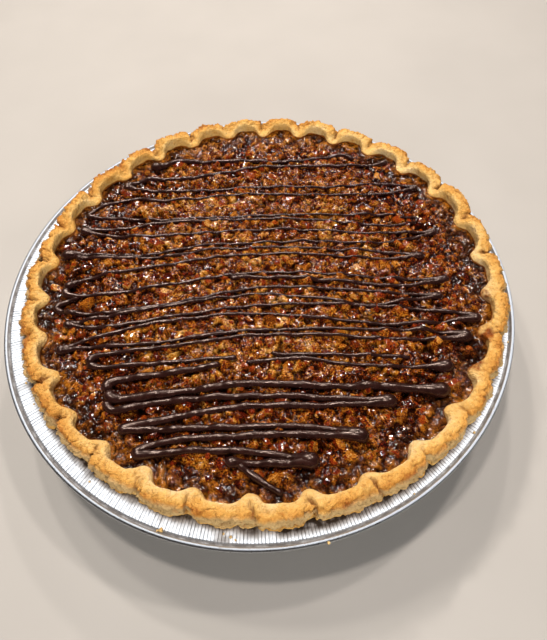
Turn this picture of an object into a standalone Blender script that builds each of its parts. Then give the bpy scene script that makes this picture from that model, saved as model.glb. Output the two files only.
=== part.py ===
"""Bourbon pecan pie in its own foil tin.

Three pieces: the foil tin, the pastry case with its finger-fluted rim, and the
pecan filling with chopped nuts and a chocolate drizzle joined to its top.
Lengths are in metres, +Z is up, and the origin is the middle of the tin's base.
"""

import math
import random

import bmesh
import bpy
from mathutils import Vector, noise
from mathutils.bvhtree import BVHTree

MM = 0.001
GAP = 0.35 * MM

# The tin: a nine-inch foil pie tin
FOIL = 0.4 * MM
TIN_BASE_RADIUS = 92.0 * MM
TIN_CORNER = 2.4 * MM
TIN_MOUTH_RADIUS = 110.4 * MM
FLANGE_HEIGHT = 31.5 * MM
FLANGE_OUTER_RADIUS = 119.4 * MM
GROOVE_RADIUS = 120.4 * MM
GROOVE_DEPTH = 0.7 * MM
BEAD_RADIUS = 1.15 * MM
BEAD_TURNS = (135, 75, 20, -35, -85, -135)
TIN_OUTER_RADIUS = 122.5 * MM
TIN_STEPS = 72
# How high the corner under the wall rises, as a share of its width
CORNER_RISE = 0.7
# The rounded lip between the wall and the flange, and the groove's and the foil's slanted sides
LIP_WIDTH = 0.8 * MM
LIP_DROP = 0.6 * MM
LIP_UNDER = 0.1 * MM
GROOVE_SIDE = 0.2 * MM
CORNER_FOIL = 0.3 * MM
TURN_MERGE = 0.05 * MM

# The crimped rim: knuckles point inwards, with a wide scoop between each pair
FLUTES = 30
FIRST_KNUCKLE = math.radians(171.0)
# The rim sits a little to one side of the tin, so the pie's own centre is off the tin's axis
PIE_OFFSET = Vector((2.8 * MM, 0.0, 0.0))
TIN_AXIS = -PIE_OFFSET
# How the fingers' pace varies round the rim: waves round the rim, degrees, phase in degrees
UNEVEN_PACE = ((1, 0.66, 180), (2, 0.44, 27), (3, 0.79, 50), (4, 0.34, -145))
FLUTE_SHARES = (0.0, 0.10, 0.25, 0.50, 0.75, 0.90)
PLAIN_STEP = 3
SPARSE_STEP = 9
# How wide a knuckle, its sag and its cleft are to each side, and how square their ends are
KNUCKLE_HALF_WIDTH = 4.9 * MM
KNUCKLE_SQUARENESS = 2.8
SAG_HALF_WIDTH = 5.5 * MM
SAG_SQUARENESS = 1.8
CLEFT_HALF_WIDTH = 2.3 * MM
CLEFT_SQUARENESS = 1.5
# How much the flutes differ: a knuckle's reach, a cleft's depth and where a crest is highest
REACH_RANGE = (0.82, 1.15)
CLEFT_RANGE = (0.25, 1.3)
SKEW_RANGE = (0.6, 1.6)
# The far side was pinched lower than the near side: how much more its knuckles sag
FAR_SAG = 0.45
# How much a crest rises over the rim's usual height, and by how much more or less at random
CREST_RISE = 0.3 * MM
CREST_UNEVENNESS = 0.7 * MM
# The crest's rise fades out below it, between these heights above the flange
RISE_FROM = 3.0 * MM
RISE_FULL = 8.0 * MM
RAG_RISE = 0.4
RIM_RADIUS = 110.0 * MM
PASTRY_WALL = 4.5 * MM
PASTRY_BASE = 4.0 * MM
CASE_TOP_DROP = 0.9 * MM
INNER_TOP_DROP = 2.0 * MM

SEAT_RADIUS = 111.0 * MM

# The rim's section at a scoop, from under the foot over the crest to the filling: radius, height
# above the flange, then how far a knuckle pulls in and sags, a cleft cuts in and the edge is ragged
RIM_SECTION = (
    (113.4, 0.90, 0.0, 0.0, 1.4, 0.2),
    (114.7, 2.30, 0.2, 0.0, 2.6, 0.8),
    (114.3, 6.00, 0.3, 0.4, 2.2, 0.5),
    (113.3, 9.20, 0.5, 0.9, 1.2, 0.3),
    (110.7, 11.10, 1.0, 1.4, 0.4, 0.2),
    (107.5, 10.30, 2.3, 2.5, 0.0, 0.1),
    (107.7, 5.60, 5.2, 0.0, 0.0, 0.0),
    (107.2, 2.20, 4.7, 0.0, 0.0, 0.0),
)
FILLING_ROWS = 2

# The filling's top
FILLING_EDGE = 4.9 * MM
FILLING_DOME = 0.8 * MM
FILLING_SWELL = 0.6 * MM
SWELL_LENGTH = 45.0 * MM
FILLING_OUTER_RING = 97.0 * MM
FILLING_RINGS = (78.0 * MM, 52.0 * MM, 26.0 * MM)

RIM_CLEARANCE = 1.0 * MM

# Chopped pecans, whose lengths and spacing here are to each side of their middle
PECAN_COUNT = 76
PECAN_LONGEST = 5.2 * MM
PECAN_SHORTEST = 2.9 * MM
PECAN_SPACING = 1.35
PECAN_TRIES = 400
PECAN_WIDTHS = (0.55, 0.8)
PECAN_HEIGHTS = (0.4, 0.55)
PECAN_LUMPS = (0.88, 1.12)
PECAN_TILT = 0.3
# How far a piece's middle stands above the filling, and how near a strand may come to it, as
# shares of its half length
PECAN_RISE = 0.1
PECAN_TO_STRAND = 0.6

# Chocolate drizzle
DRIZZLE_RADIUS = 1.3 * MM
DRIZZLE_END_RADIUS = 1.9 * MM
DRIZZLE_STEP = 21.0 * MM
# Strands that cross lie at slightly unlike heights, so that no two faces coincide
DRIZZLE_SUNK = 0.08 * MM
DRIZZLE_STAGGER = 0.07 * MM
DRIZZLE_LEVELS = 3
CURVE_STEPS = 12
WELD = 0.01 * MM
# Each pass of the drizzle, from its left end to its right, in mm from the pie's centre
DRIZZLE_PASSES = (
    ((-60, 80), (-44, 83), (-10, 82), (20, 79), (46, 82), (55, 79)),
    ((-74, 66), (-60, 71), (-35, 71), (0, 75), (40, 74), (73, 73)),
    ((-74, 66), (-50, 61), (-5, 60), (35, 57), (68, 58), (86, 53)),
    ((-92, 46), (-84, 53), (-66, 57), (-52, 54), (-10, 55), (30, 52), (65, 51), (86, 53)),
    ((-92, 46), (-78, 43), (-50, 40), (-5, 39), (35, 37), (71, 35)),
    ((-94, 36), (-72, 36), (-50, 38), (-5, 37), (34, 33), (62, 28), (78, 28), (81, 32), (72, 32)),
    ((-94, 36), (-75, 31), (-50, 28), (-20, 30), (20, 28), (60, 23), (90, 22)),
    ((-99, 17), (-94, 20), (-60, 17), (-25, 21), (15, 20), (65, 17), (90, 22)),
    ((-93, 18), (-75, 16), (-50, 15), (-20, 18), (20, 15.5), (60, 11), (80, 6.5)),
    ((-96, -1), (-83, 5), (-50, 9), (-14, 14), (25, 11), (60, 7), (80, 6.5)),
    ((-96, -1), (-90, -6), (-55, -3.5), (-10, 2), (30, -1.5), (60, -5.5), (89, -8)),
    ((-16, 0), (0, -1), (35, -6), (65, -10), (89, -8)),
    ((-88, -6), (-98, -12), (-88, -16), (-66, -16), (-30, -11), (-5, -7), (30, -10), (84, -17)),
    ((-92, -22), (-76, -19), (-45, -14), (-10, -10.5), (20, -14), (48, -20), (84, -17)),
    ((-92, -22), (-73, -24), (-40, -20), (-5, -17), (40, -19.5), (82, -25.5), (98, -31)),
    ((-94, -36), (-76, -29), (-45, -23), (-10, -21), (25, -26), (60, -31), (98, -31)),
    ((-94, -36), (-80, -34), (-50, -34), (-12, -30.5), (35, -32.5), (73, -35.5), (92, -40)),
    ((-79, -43), (-72, -38.5), (-40, -36), (-8, -33), (30, -35.5), (60, -39), (92, -40)),
    ((-79, -43), (-70, -45), (-40, -44), (-13, -44)),
    ((2, -43), (30, -45), (63, -48)),
    ((-9, -46.5), (15, -46), (42, -51), (80, -54)),
    ((-69, -57), (-66, -52), (-40, -49.5), (-20, -47)),
    ((-69, -57), (-62, -60.5), (-30, -58.5), (-5, -57), (30, -60), (76, -65)),
    ((-69, -62), (-64, -65.5), (-45, -63), (-5, -62.5), (25, -65), (53, -69)),
    ((-62, -74), (-45, -71), (-15, -67), (20, -68), (53, -69)),
    ((-62, -74), (-35, -75), (0, -76), (22, -78), (39, -83)),
    ((-55, -85), (-42, -80), (-5, -79.5), (18, -80.5), (39, -83)),
    ((-55, -85), (-25, -84.5), (-5, -86.5), (19, -92)),
    ((-18, -90), (-5, -91), (19, -92)),
    ((-13, -91), (-4, -98), (4, -103)),
)


def clear_scene():
    for obj in list(bpy.data.objects):
        bpy.data.objects.remove(obj, do_unlink=True)


def new_collection(name):
    collection = bpy.data.collections.new(name)
    bpy.context.scene.collection.children.link(collection)
    return collection


def food_material(name, colour, roughness, metallic=0.0):
    material = bpy.data.materials.new(name)
    material.use_nodes = True
    shader = material.node_tree.nodes["Principled BSDF"]
    shader.inputs["Base Color"].default_value = (*colour, 1.0)
    shader.inputs["Roughness"].default_value = roughness
    shader.inputs["Metallic"].default_value = metallic
    return material


def object_from_bmesh(bm, name, collection, material=None):
    """Turns a finished bmesh into an object, with its faces pointing out."""
    bmesh.ops.recalc_face_normals(bm, faces=bm.faces)
    mesh = bpy.data.meshes.new(name)
    bm.to_mesh(mesh)
    bm.free()
    obj = bpy.data.objects.new(name, mesh)
    collection.objects.link(obj)
    if material:
        mesh.materials.append(material)
    return obj


def polar(radius, angle, height):
    return Vector((radius * math.cos(angle), radius * math.sin(angle), height))


def tin_profile():
    """The tin's section: up the inside, over the flange and the rolled bead, and back underneath."""
    bead_x = TIN_OUTER_RADIUS - BEAD_RADIUS
    bead_z = FLANGE_HEIGHT - FOIL / 2
    mouth = TIN_MOUTH_RADIUS
    inside = [
        (0.0, FOIL),
        (TIN_BASE_RADIUS, FOIL),
        (TIN_BASE_RADIUS + TIN_CORNER, FOIL + TIN_CORNER * CORNER_RISE),
        (mouth, FLANGE_HEIGHT - LIP_DROP),
        (mouth + LIP_WIDTH, FLANGE_HEIGHT),
        (FLANGE_OUTER_RADIUS, FLANGE_HEIGHT),
        (GROOVE_RADIUS - GROOVE_SIDE, FLANGE_HEIGHT - GROOVE_DEPTH),
    ]
    bead = []
    for turn in BEAD_TURNS:
        angle = math.radians(turn)
        bead.append((bead_x + BEAD_RADIUS * math.cos(angle), bead_z + BEAD_RADIUS * math.sin(angle)))
    outside = [
        (FLANGE_OUTER_RADIUS - GROOVE_SIDE, FLANGE_HEIGHT - FOIL),
        (mouth + LIP_WIDTH + LIP_UNDER, FLANGE_HEIGHT - FOIL),
        (mouth + FOIL, FLANGE_HEIGHT - LIP_DROP - FOIL),
        (TIN_BASE_RADIUS + TIN_CORNER + CORNER_FOIL, TIN_CORNER * CORNER_RISE),
        (TIN_BASE_RADIUS, 0.0),
        (0.0, 0.0),
    ]
    return inside + bead + outside


def build_tin(collection):
    profile = tin_profile()
    mesh = bpy.data.meshes.new("foil_tin")
    edges = [(i, i + 1) for i in range(len(profile) - 1)]
    mesh.from_pydata([(x, 0.0, z) for x, z in profile], edges, [])
    tin = bpy.data.objects.new("foil_tin", mesh)
    collection.objects.link(tin)
    turn = tin.modifiers.new("turned", "SCREW")
    turn.axis = "Z"
    turn.steps = TIN_STEPS
    turn.render_steps = TIN_STEPS
    turn.use_merge_vertices = True
    turn.merge_threshold = TURN_MERGE
    mesh.materials.append(food_material("rolled aluminium foil", (0.82, 0.83, 0.84), 0.28, 1.0))
    return tin


class Rim:
    """The fluted rim, as columns round the pie, each with its share of knuckle and cleft."""

    def __init__(self):
        draw = random.Random(9)
        pitch = math.tau / FLUTES
        knuckles = []
        for i in range(FLUTES + 1):
            turn = pitch * i
            pace = sum(a * math.sin(n * turn + math.radians(p)) for n, a, p in UNEVEN_PACE)
            knuckles.append(FIRST_KNUCKLE + turn + math.radians(pace))
        reach = [draw.uniform(*REACH_RANGE) for _ in range(FLUTES)]
        lift = [CREST_RISE + draw.uniform(-1.0, 1.0) * CREST_UNEVENNESS for _ in range(FLUTES)]
        skew = [draw.uniform(*SKEW_RANGE) for _ in range(FLUTES)]
        depth = [draw.uniform(*CLEFT_RANGE) for _ in range(FLUTES)]
        self.columns = []
        for i in range(FLUTES):
            width = knuckles[i + 1] - knuckles[i]
            for share in FLUTE_SHARES:
                near = i if share < 0.5 else (i + 1) % FLUTES
                off = min(share, 1 - share) * width * RIM_RADIUS
                knuckle = math.exp(-((off / KNUCKLE_HALF_WIDTH) ** KNUCKLE_SQUARENESS))
                sag = math.exp(-((off / SAG_HALF_WIDTH) ** SAG_SQUARENESS))
                sag *= 1 + FAR_SAG * math.sin(knuckles[near])
                cleft = math.exp(-((off / CLEFT_HALF_WIDTH) ** CLEFT_SQUARENESS))
                self.columns.append(
                    {
                        "angle": knuckles[i] + share * width,
                        "knuckle": knuckle * reach[near],
                        "sag": sag * reach[near],
                        "cleft": cleft * depth[near],
                        "rise": lift[i] * math.sin(math.pi * share ** skew[i]),
                        "rag": draw.uniform(-1.0, 1.0),
                    }
                )

    def row(self, section, inset=0.0, drop=0.0):
        """One ring of points along the rim, from a line of RIM_SECTION."""
        radius, height, pull, droop, cut, rag = (value * MM for value in section)
        high = min(1.0, max(0.0, (height - RISE_FROM) / (RISE_FULL - RISE_FROM)))
        points = []
        for column in self.columns:
            ragged = rag * column["rag"]
            r = radius - pull * column["knuckle"] - cut * column["cleft"] + ragged
            z = FLANGE_HEIGHT + height + column["rise"] * high - droop * column["sag"] + RAG_RISE * ragged
            points.append(polar(r - inset, column["angle"], z - drop))
        return points

    def plain_ring(self, radius, height, step=PLAIN_STEP, centre=TIN_AXIS):
        """A round ring with a point at each knuckle and each scoop, or at more or fewer of them."""
        return [centre + polar(radius, column["angle"], height) for column in self.columns[::step]]

    def inner_radius(self, angle, half_width):
        """How far out a piece of this half width may reach on the filling, at an angle."""
        radius, _, pull = RIM_SECTION[-FILLING_ROWS][:3]
        window = (half_width + KNUCKLE_HALF_WIDTH) / RIM_RADIUS
        near = [c for c in self.columns if abs(math.remainder(c["angle"] - angle, math.tau)) < window]
        return (radius - pull * max(c["knuckle"] for c in near)) * MM


def skin(rings):
    """A closed skin over rings of points, each as dense as the next or three times as dense.

    The first and last entries are single points, at the middle of the base and of the top.
    """
    bm = bmesh.new()
    made = [[bm.verts.new(p) for p in ring] for ring in rings]
    for lower, upper in zip(made, made[1:]):
        if len(lower) == 1 or len(upper) == 1:
            point, ring = (lower[0], upper) if len(lower) == 1 else (upper[0], lower)
            for a, b in zip(ring, ring[1:] + ring[:1]):
                bm.faces.new((point, a, b))
        elif len(lower) == len(upper):
            for i in range(len(lower)):
                j = (i + 1) % len(lower)
                bm.faces.new((lower[i], lower[j], upper[j], upper[i]))
        else:
            sparse, dense = (lower, upper) if len(lower) < len(upper) else (upper, lower)
            join_sparse_to_dense(bm, sparse, dense)
    return bm


def join_sparse_to_dense(bm, sparse, dense):
    """Fills the band between two rings where one has three points to the other's one."""
    for i, point in enumerate(sparse):
        following = sparse[(i + 1) % len(sparse)]
        a, b, c, d = (dense[(3 * i + k) % len(dense)] for k in range(4))
        for face in ((point, a, b), (point, b, c), (point, c, following), (following, c, d)):
            bm.faces.new(face)


def tin_inside_radius(height):
    """The tin's inner radius at a height on its sloping wall."""
    low_r, low_z = TIN_BASE_RADIUS + TIN_CORNER, FOIL + TIN_CORNER * CORNER_RISE
    high_r, high_z = TIN_MOUTH_RADIUS, FLANGE_HEIGHT - LIP_DROP
    return low_r + (height - low_z) / (high_z - low_z) * (high_r - low_r)


def build_case(rim, collection):
    base = FOIL + GAP
    corner = base + TIN_CORNER
    wall_top = FLANGE_HEIGHT - CASE_TOP_DROP
    floor = base + PASTRY_BASE
    rings = [
        [TIN_AXIS + Vector((0, 0, base))],
        rim.plain_ring(TIN_BASE_RADIUS - GAP, base),
        rim.plain_ring(tin_inside_radius(corner) - 2 * GAP, corner),
        rim.plain_ring(tin_inside_radius(wall_top) - GAP, wall_top),
        rim.plain_ring(SEAT_RADIUS, FLANGE_HEIGHT + GAP, step=1),
    ]
    rings += [rim.row(section) for section in RIM_SECTION]
    rings += [
        rim.plain_ring(tin_inside_radius(wall_top) - GAP - PASTRY_WALL, wall_top - INNER_TOP_DROP),
        rim.plain_ring(tin_inside_radius(floor) - GAP - PASTRY_WALL, floor),
        [TIN_AXIS + Vector((0, 0, floor))],
    ]
    crust = food_material("baked shortcrust pastry", (0.72, 0.42, 0.15), 0.78)
    return object_from_bmesh(skin(rings), "pastry_case", collection, crust)


def filling_height(x, y):
    """The filling's top, a low dome with a slow swell, as a height above the base."""
    out = min(1.0, math.hypot(x, y) / FILLING_OUTER_RING)
    swell = noise.noise(Vector((x, y, 0.0)) / SWELL_LENGTH) * FILLING_SWELL * 2
    fade = 1 - out**4
    return FLANGE_HEIGHT + FILLING_EDGE + (FILLING_DOME * (1 - out * out) + swell) * fade


def build_filling_core(rim, collection):
    wall_top = FLANGE_HEIGHT - CASE_TOP_DROP
    floor = FOIL + 2 * GAP + PASTRY_BASE
    inset = 2 * GAP + PASTRY_WALL
    edge = RIM_SECTION[-FILLING_ROWS]
    edge_drop = edge[1] * MM - FILLING_EDGE
    rings = [
        [TIN_AXIS + Vector((0, 0, floor))],
        rim.plain_ring(tin_inside_radius(floor) - inset, floor),
        rim.plain_ring(tin_inside_radius(wall_top) - inset, wall_top - INNER_TOP_DROP),
        rim.row(RIM_SECTION[-1], inset=GAP),
        rim.row(edge, inset=GAP, drop=edge_drop),
    ]
    middle = Vector((0, 0, 0))
    flat = [rim.plain_ring(FILLING_OUTER_RING, 0.0, centre=middle)]
    flat += [rim.plain_ring(radius, 0.0, SPARSE_STEP, middle) for radius in FILLING_RINGS]
    for ring in flat:
        rings.append([Vector((p.x, p.y, filling_height(p.x, p.y))) for p in ring])
    rings.append([Vector((0, 0, filling_height(0, 0)))])
    filling = food_material("pecan and caramel filling", (0.30, 0.09, 0.02), 0.3)
    return object_from_bmesh(skin(rings), "pecan_filling", collection, filling)


class Top:
    """The core's bare top, as a height for every place on it."""

    def __init__(self, core):
        mesh = core.data
        corners = [v.co.copy() for v in mesh.vertices]
        self.tree = BVHTree.FromPolygons(corners, [p.vertices[:] for p in mesh.polygons])

    def height(self, x, y):
        above = Vector((x, y, 2 * FLANGE_HEIGHT))
        return self.tree.ray_cast(above, Vector((0, 0, -1)))[0].z


def drizzle_near(x, y, lines, reach):
    return any((x - px) ** 2 + (y - py) ** 2 < reach**2 for px, py in lines)


def scatter_pecans(rim, top, lines, collection):
    """Chopped pecans over the filling, the largest first, each clear of the pieces before it."""
    draw = random.Random(41)
    placed = []
    while len(placed) < PECAN_COUNT:
        share = len(placed) / PECAN_COUNT
        size = PECAN_LONGEST + (PECAN_SHORTEST - PECAN_LONGEST) * share
        for _ in range(PECAN_TRIES):
            angle = draw.uniform(0, math.tau)
            radius = math.sqrt(draw.random()) * RIM_RADIUS
            x, y = radius * math.cos(angle), radius * math.sin(angle)
            if radius + size > rim.inner_radius(angle, size) - RIM_CLEARANCE:
                continue
            if drizzle_near(x, y, lines, size * PECAN_TO_STRAND + DRIZZLE_RADIUS):
                continue
            if all(math.hypot(x - a, y - b) > PECAN_SPACING * (size + c) for a, b, c in placed):
                placed.append((x, y, size))
                break
        else:
            break
    for number, (x, y, size) in enumerate(placed):
        bm = bmesh.new()
        bmesh.ops.create_icosphere(bm, subdivisions=1, radius=size)
        stretch = Vector((1.0, draw.uniform(*PECAN_WIDTHS), draw.uniform(*PECAN_HEIGHTS)))
        for vert in bm.verts:
            vert.co = Vector(a * b for a, b in zip(vert.co, stretch)) * draw.uniform(*PECAN_LUMPS)
        pecan = object_from_bmesh(bm, f"pecan_{number}", collection)
        tilts = [draw.uniform(-PECAN_TILT, PECAN_TILT) for _ in range(2)]
        pecan.rotation_euler = (*tilts, draw.uniform(0, math.tau))
        pecan.location = (x, y, top.height(x, y) + PECAN_RISE * size)


def smooth_route(points, step):
    """Points at even steps along a smooth curve through the given ones."""
    ends = [Vector(points[0]) * 2 - Vector(points[1]), Vector(points[-1]) * 2 - Vector(points[-2])]
    guide = [ends[0], *[Vector(p) for p in points], ends[1]]
    fine = []
    for a, b, c, d in zip(guide, guide[1:], guide[2:], guide[3:]):
        slope, bend, twist = c - a, 2 * a - 5 * b + 4 * c - d, 3 * b - a - 3 * c + d
        for k in range(CURVE_STEPS):
            t = k / CURVE_STEPS
            fine.append(b + 0.5 * (slope * t + bend * t**2 + twist * t**3))
    fine.append(Vector(points[-1]))
    length = sum((q - p).length for p, q in zip(fine, fine[1:]))
    count = max(2, round(length / step))
    route, gone, target = [fine[0]], 0.0, length / count
    for p, q in zip(fine, fine[1:]):
        gone += (q - p).length
        if gone >= target * len(route) - 1e-9 and len(route) < count:
            route.append(q)
    route.append(fine[-1])
    return route


def clear_of_rim(rim, point):
    """The point, moved in towards the middle if a strand there would touch the pastry."""
    angle = math.atan2(point.y, point.x)
    furthest = rim.inner_radius(angle, DRIZZLE_END_RADIUS) - DRIZZLE_END_RADIUS - RIM_CLEARANCE
    return point * min(1.0, furthest / point.length)


def drizzle_routes(rim, step):
    scaled = [[(x * MM, y * MM) for x, y in line] for line in DRIZZLE_PASSES]
    return [[clear_of_rim(rim, p) for p in smooth_route(line, step)] for line in scaled]


def build_drizzle_pass(number, route, top, collection):
    """One pass as a four-sided strand, half sunk in the filling and thicker at its turns."""
    curve = bpy.data.curves.new(f"drizzle_{number}", "CURVE")
    curve.dimensions = "3D"
    curve.bevel_depth = 1.0
    curve.bevel_resolution = 0
    curve.use_fill_caps = True
    spline = curve.splines.new("POLY")
    spline.points.add(len(route) - 1)
    for i, (point, flat) in enumerate(zip(spline.points, route)):
        sunk = DRIZZLE_SUNK + DRIZZLE_STAGGER * (number % DRIZZLE_LEVELS)
        height = top.height(flat.x, flat.y) - sunk
        point.co = (flat.x, flat.y, height, 1.0)
        turn = i in (0, len(route) - 1)
        point.radius = DRIZZLE_END_RADIUS if turn else DRIZZLE_RADIUS
    guide = bpy.data.objects.new(f"drizzle_{number}_guide", curve)
    collection.objects.link(guide)
    bpy.context.view_layer.update()
    evaluated = guide.evaluated_get(bpy.context.evaluated_depsgraph_get())
    mesh = bpy.data.meshes.new_from_object(evaluated)
    bpy.data.objects.remove(guide, do_unlink=True)
    bm = bmesh.new()
    bm.from_mesh(mesh)
    bpy.data.meshes.remove(mesh)
    bmesh.ops.remove_doubles(bm, verts=bm.verts, dist=WELD)
    return object_from_bmesh(bm, f"drizzle_{number}", collection)


def outer_skin(mesh):
    """Keeps the one outer surface: a hollow that the union sealed is filled, a loose scrap is dropped."""
    bm = bmesh.new()
    bm.from_mesh(mesh)
    waiting = set(bm.faces)
    islands = []
    while waiting:
        island, front = [], [waiting.pop()]
        while front:
            face = front.pop()
            island.append(face)
            near = {other for edge in face.edges for other in edge.link_faces} & waiting
            waiting -= near
            front.extend(near)
        islands.append(island)
    islands.sort(key=len)
    for scrap in islands[:-1]:
        bmesh.ops.delete(bm, geom=scrap, context="FACES")
    bm.to_mesh(mesh)
    bm.free()
    print("surfaces dropped after the union:", len(islands) - 1)


def join_to(core, collection):
    """Joins a whole collection of small pieces to the core with one union, then drops them."""
    bpy.context.view_layer.update()
    union = core.modifiers.new("joined", "BOOLEAN")
    union.operation = "UNION"
    union.operand_type = "COLLECTION"
    union.collection = collection
    union.solver = "MANIFOLD"
    bpy.context.view_layer.update()
    evaluated = core.evaluated_get(bpy.context.evaluated_depsgraph_get())
    joined = bpy.data.meshes.new_from_object(evaluated)
    core.modifiers.remove(union)
    outer_skin(joined)
    core.data = joined
    for piece in list(collection.objects):
        bpy.data.objects.remove(piece, do_unlink=True)
    bpy.data.collections.remove(collection)


def build_filling(rim, collection):
    core = build_filling_core(rim, collection)
    top = Top(core)
    toppings = new_collection("toppings")
    for number, route in enumerate(drizzle_routes(rim, DRIZZLE_STEP)):
        build_drizzle_pass(number, route, top, toppings)
    lines = [(p.x, p.y) for line in drizzle_routes(rim, PECAN_SHORTEST) for p in line]
    scatter_pecans(rim, top, lines, toppings)
    join_to(core, toppings)
    return core


def main():
    clear_scene()
    pie = new_collection("bourbon_pecan_pie")
    build_tin(pie)
    rim = Rim()
    case = build_case(rim, pie)
    filling = build_filling(rim, pie)
    for piece in (case, filling):
        piece.location = PIE_OFFSET
        piece.data.shade_smooth()
        piece.data.set_sharp_from_angle(angle=math.radians(40))


main()
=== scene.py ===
# %% [markdown]
# # A bourbon pecan pie in its foil tin
#
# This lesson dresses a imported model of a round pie. The real pie has three separate things: a foil
# tin, a pastry case whose rim was pinched between fingers, and a baked filling of custard and
# chopped pecans with a drizzle of dark chocolate over it. The solids from the model give the sizes.
# Each cell below makes one piece or one finish over them, and says why it is made that way.

# %% Loading the frame
import math
import random
from functools import partial

import bmesh
import bpy
import numpy as np
from mathutils import Matrix, Vector, noise
from mathutils.bvhtree import BVHTree


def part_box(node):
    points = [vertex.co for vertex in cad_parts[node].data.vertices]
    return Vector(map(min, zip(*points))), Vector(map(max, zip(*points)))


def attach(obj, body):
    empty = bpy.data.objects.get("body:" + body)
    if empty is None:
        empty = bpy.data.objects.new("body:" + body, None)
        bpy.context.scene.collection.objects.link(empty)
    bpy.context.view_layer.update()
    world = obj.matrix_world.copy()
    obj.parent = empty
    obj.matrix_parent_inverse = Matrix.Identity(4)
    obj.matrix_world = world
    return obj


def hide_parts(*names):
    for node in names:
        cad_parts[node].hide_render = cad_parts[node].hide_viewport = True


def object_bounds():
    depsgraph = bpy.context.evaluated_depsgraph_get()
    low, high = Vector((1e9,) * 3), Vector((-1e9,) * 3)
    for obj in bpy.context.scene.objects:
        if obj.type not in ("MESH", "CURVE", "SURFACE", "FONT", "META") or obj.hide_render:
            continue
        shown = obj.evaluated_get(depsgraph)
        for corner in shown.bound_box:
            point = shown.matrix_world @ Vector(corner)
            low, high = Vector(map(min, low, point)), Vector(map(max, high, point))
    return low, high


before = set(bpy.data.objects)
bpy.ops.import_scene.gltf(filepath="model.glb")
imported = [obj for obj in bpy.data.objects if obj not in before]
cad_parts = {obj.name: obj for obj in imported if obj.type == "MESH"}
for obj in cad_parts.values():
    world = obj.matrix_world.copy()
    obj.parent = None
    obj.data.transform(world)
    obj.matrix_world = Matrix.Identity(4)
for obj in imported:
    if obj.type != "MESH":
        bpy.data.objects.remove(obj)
cad_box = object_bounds()
MM = 0.001
print("nodes:", sorted(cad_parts), "box in mm:", [round(v / MM, 1) for v in cad_box[1] - cad_box[0]])

# %% [markdown]
# ## The sizes
#
# The sizes are the ones that the solids were built from, in millimetres, so that each piece here
# lies just where its solid lies. The pie sits a little to one side in its tin, so there are two
# centres: the tin's, at the origin, and the pie's, a few millimetres to the right of it.

# %% Sizes in millimetres
tin_low, tin_high = (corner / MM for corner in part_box("foil_tin"))
TIN_RADIUS = min(tin_high.x, tin_high.y) - 0.08
BEAD_RADIUS = 1.1
BEAD_CENTRE = TIN_RADIUS - BEAD_RADIUS
FLANGE = 31.5
MOUTH = 110.4
BASE = 92.0
CORNER = 2.4
FOIL = 0.25
PIE_CENTRE = np.array([2.8, 0.0])
FLUTES = 30
RIM_RADIUS = 110.0
FILLING_LEVEL = FLANGE + 4.9
print("tin radius", round(TIN_RADIUS, 2), "flange height", FLANGE)

# %% [markdown]
# ## A few small helpers
#
# Colours are easiest to pick as sRGB hex values, as a paint program shows them, but Blender's
# sockets take linear light, so one function turns them. Materials and geometry trees are both made
# of nodes, and another function adds a node of any kind with its settings, its inputs and a ramp's
# colour stops. Inputs come in the node's own order, or by name or number. Each is a value, or the
# node before it, whose first output in use is then linked. Most nodes here are shader nodes, so
# that part of their kind's name is left out.

# %% Colour and node helpers
def linear(hex_colour):
    """An sRGB hex colour as the linear RGBA that a socket takes."""
    channels = [int(hex_colour[i : i + 2], 16) / 255 for i in (1, 3, 5)]
    return (*[c / 12.92 if c <= 0.04045 else ((c + 0.055) / 1.055) ** 2.4 for c in channels], 1.0)


def set_inputs(node, inputs):
    """Sets inputs from a tuple in their order or from a dict. A node or an output is linked."""
    for socket, value in inputs.items() if isinstance(inputs, dict) else enumerate(inputs):
        if isinstance(value, bpy.types.Node):
            value = next(output for output in value.outputs if output.enabled)
        if isinstance(value, bpy.types.NodeSocket):
            node.id_data.links.new(value, node.inputs[socket])
        else:
            node.inputs[socket].default_value = value


def add_node(tree, kind, inputs=(), stops=(), **settings):
    """Adds a node with its settings, its inputs and its stops of position and hex colour."""
    node = tree.nodes.new(kind if "Node" in kind else "ShaderNode" + kind)
    for name, value in settings.items():
        setattr(node, name, value)
    if stops:
        elements = node.color_ramp.elements
        while len(elements) < len(stops):
            elements.new(0.5)
        for element, (position, colour) in zip(elements, stops):
            element.position, element.color = position, linear(colour)
    set_inputs(node, inputs)
    return node


print("amber in linear light:", [round(c, 3) for c in linear("#b8661f")[:3]])

# %% [markdown]
# ## Noise for shapes
#
# Baked food has no smooth surface. Two kinds of noise are enough for it: a soft one for swells and
# dimples, and a grainy one, which finds the nearest of many scattered points, for chips, bubbles
# and cracks. Round each scattered point lies one grain, and it gets a flat top that tilts its own
# way, as a broken nut has. Both are written with arrays, so that a whole surface is done at once, and
# both take their random numbers from a mixed-up place number, so that each run gives the same pie.

# %% Noise on arrays of points
MIX = np.array([0x9E3779B97F4A7C15, 0xC2B2AE3D27D4EB4F, 0x165667B19E3779F9], dtype=np.uint64)
SCRAMBLE = np.uint64(0xFF51AFD7ED558CCD)


def random_at(cells, seed):
    """A repeatable random number from 0 to 1 for each whole-number place."""
    with np.errstate(over="ignore"):
        keys = (cells.astype(np.int64) + 4096).astype(np.uint64) * MIX[: cells.shape[-1]]
        mixed = np.bitwise_xor.reduce(keys, axis=-1) ^ (np.uint64(seed + 1) * SCRAMBLE)
        for _ in range(2):
            mixed = (mixed ^ (mixed >> np.uint64(33))) * SCRAMBLE
        mixed ^= mixed >> np.uint64(29)
    return (mixed >> np.uint64(11)).astype(float) / 2.0**53


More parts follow.
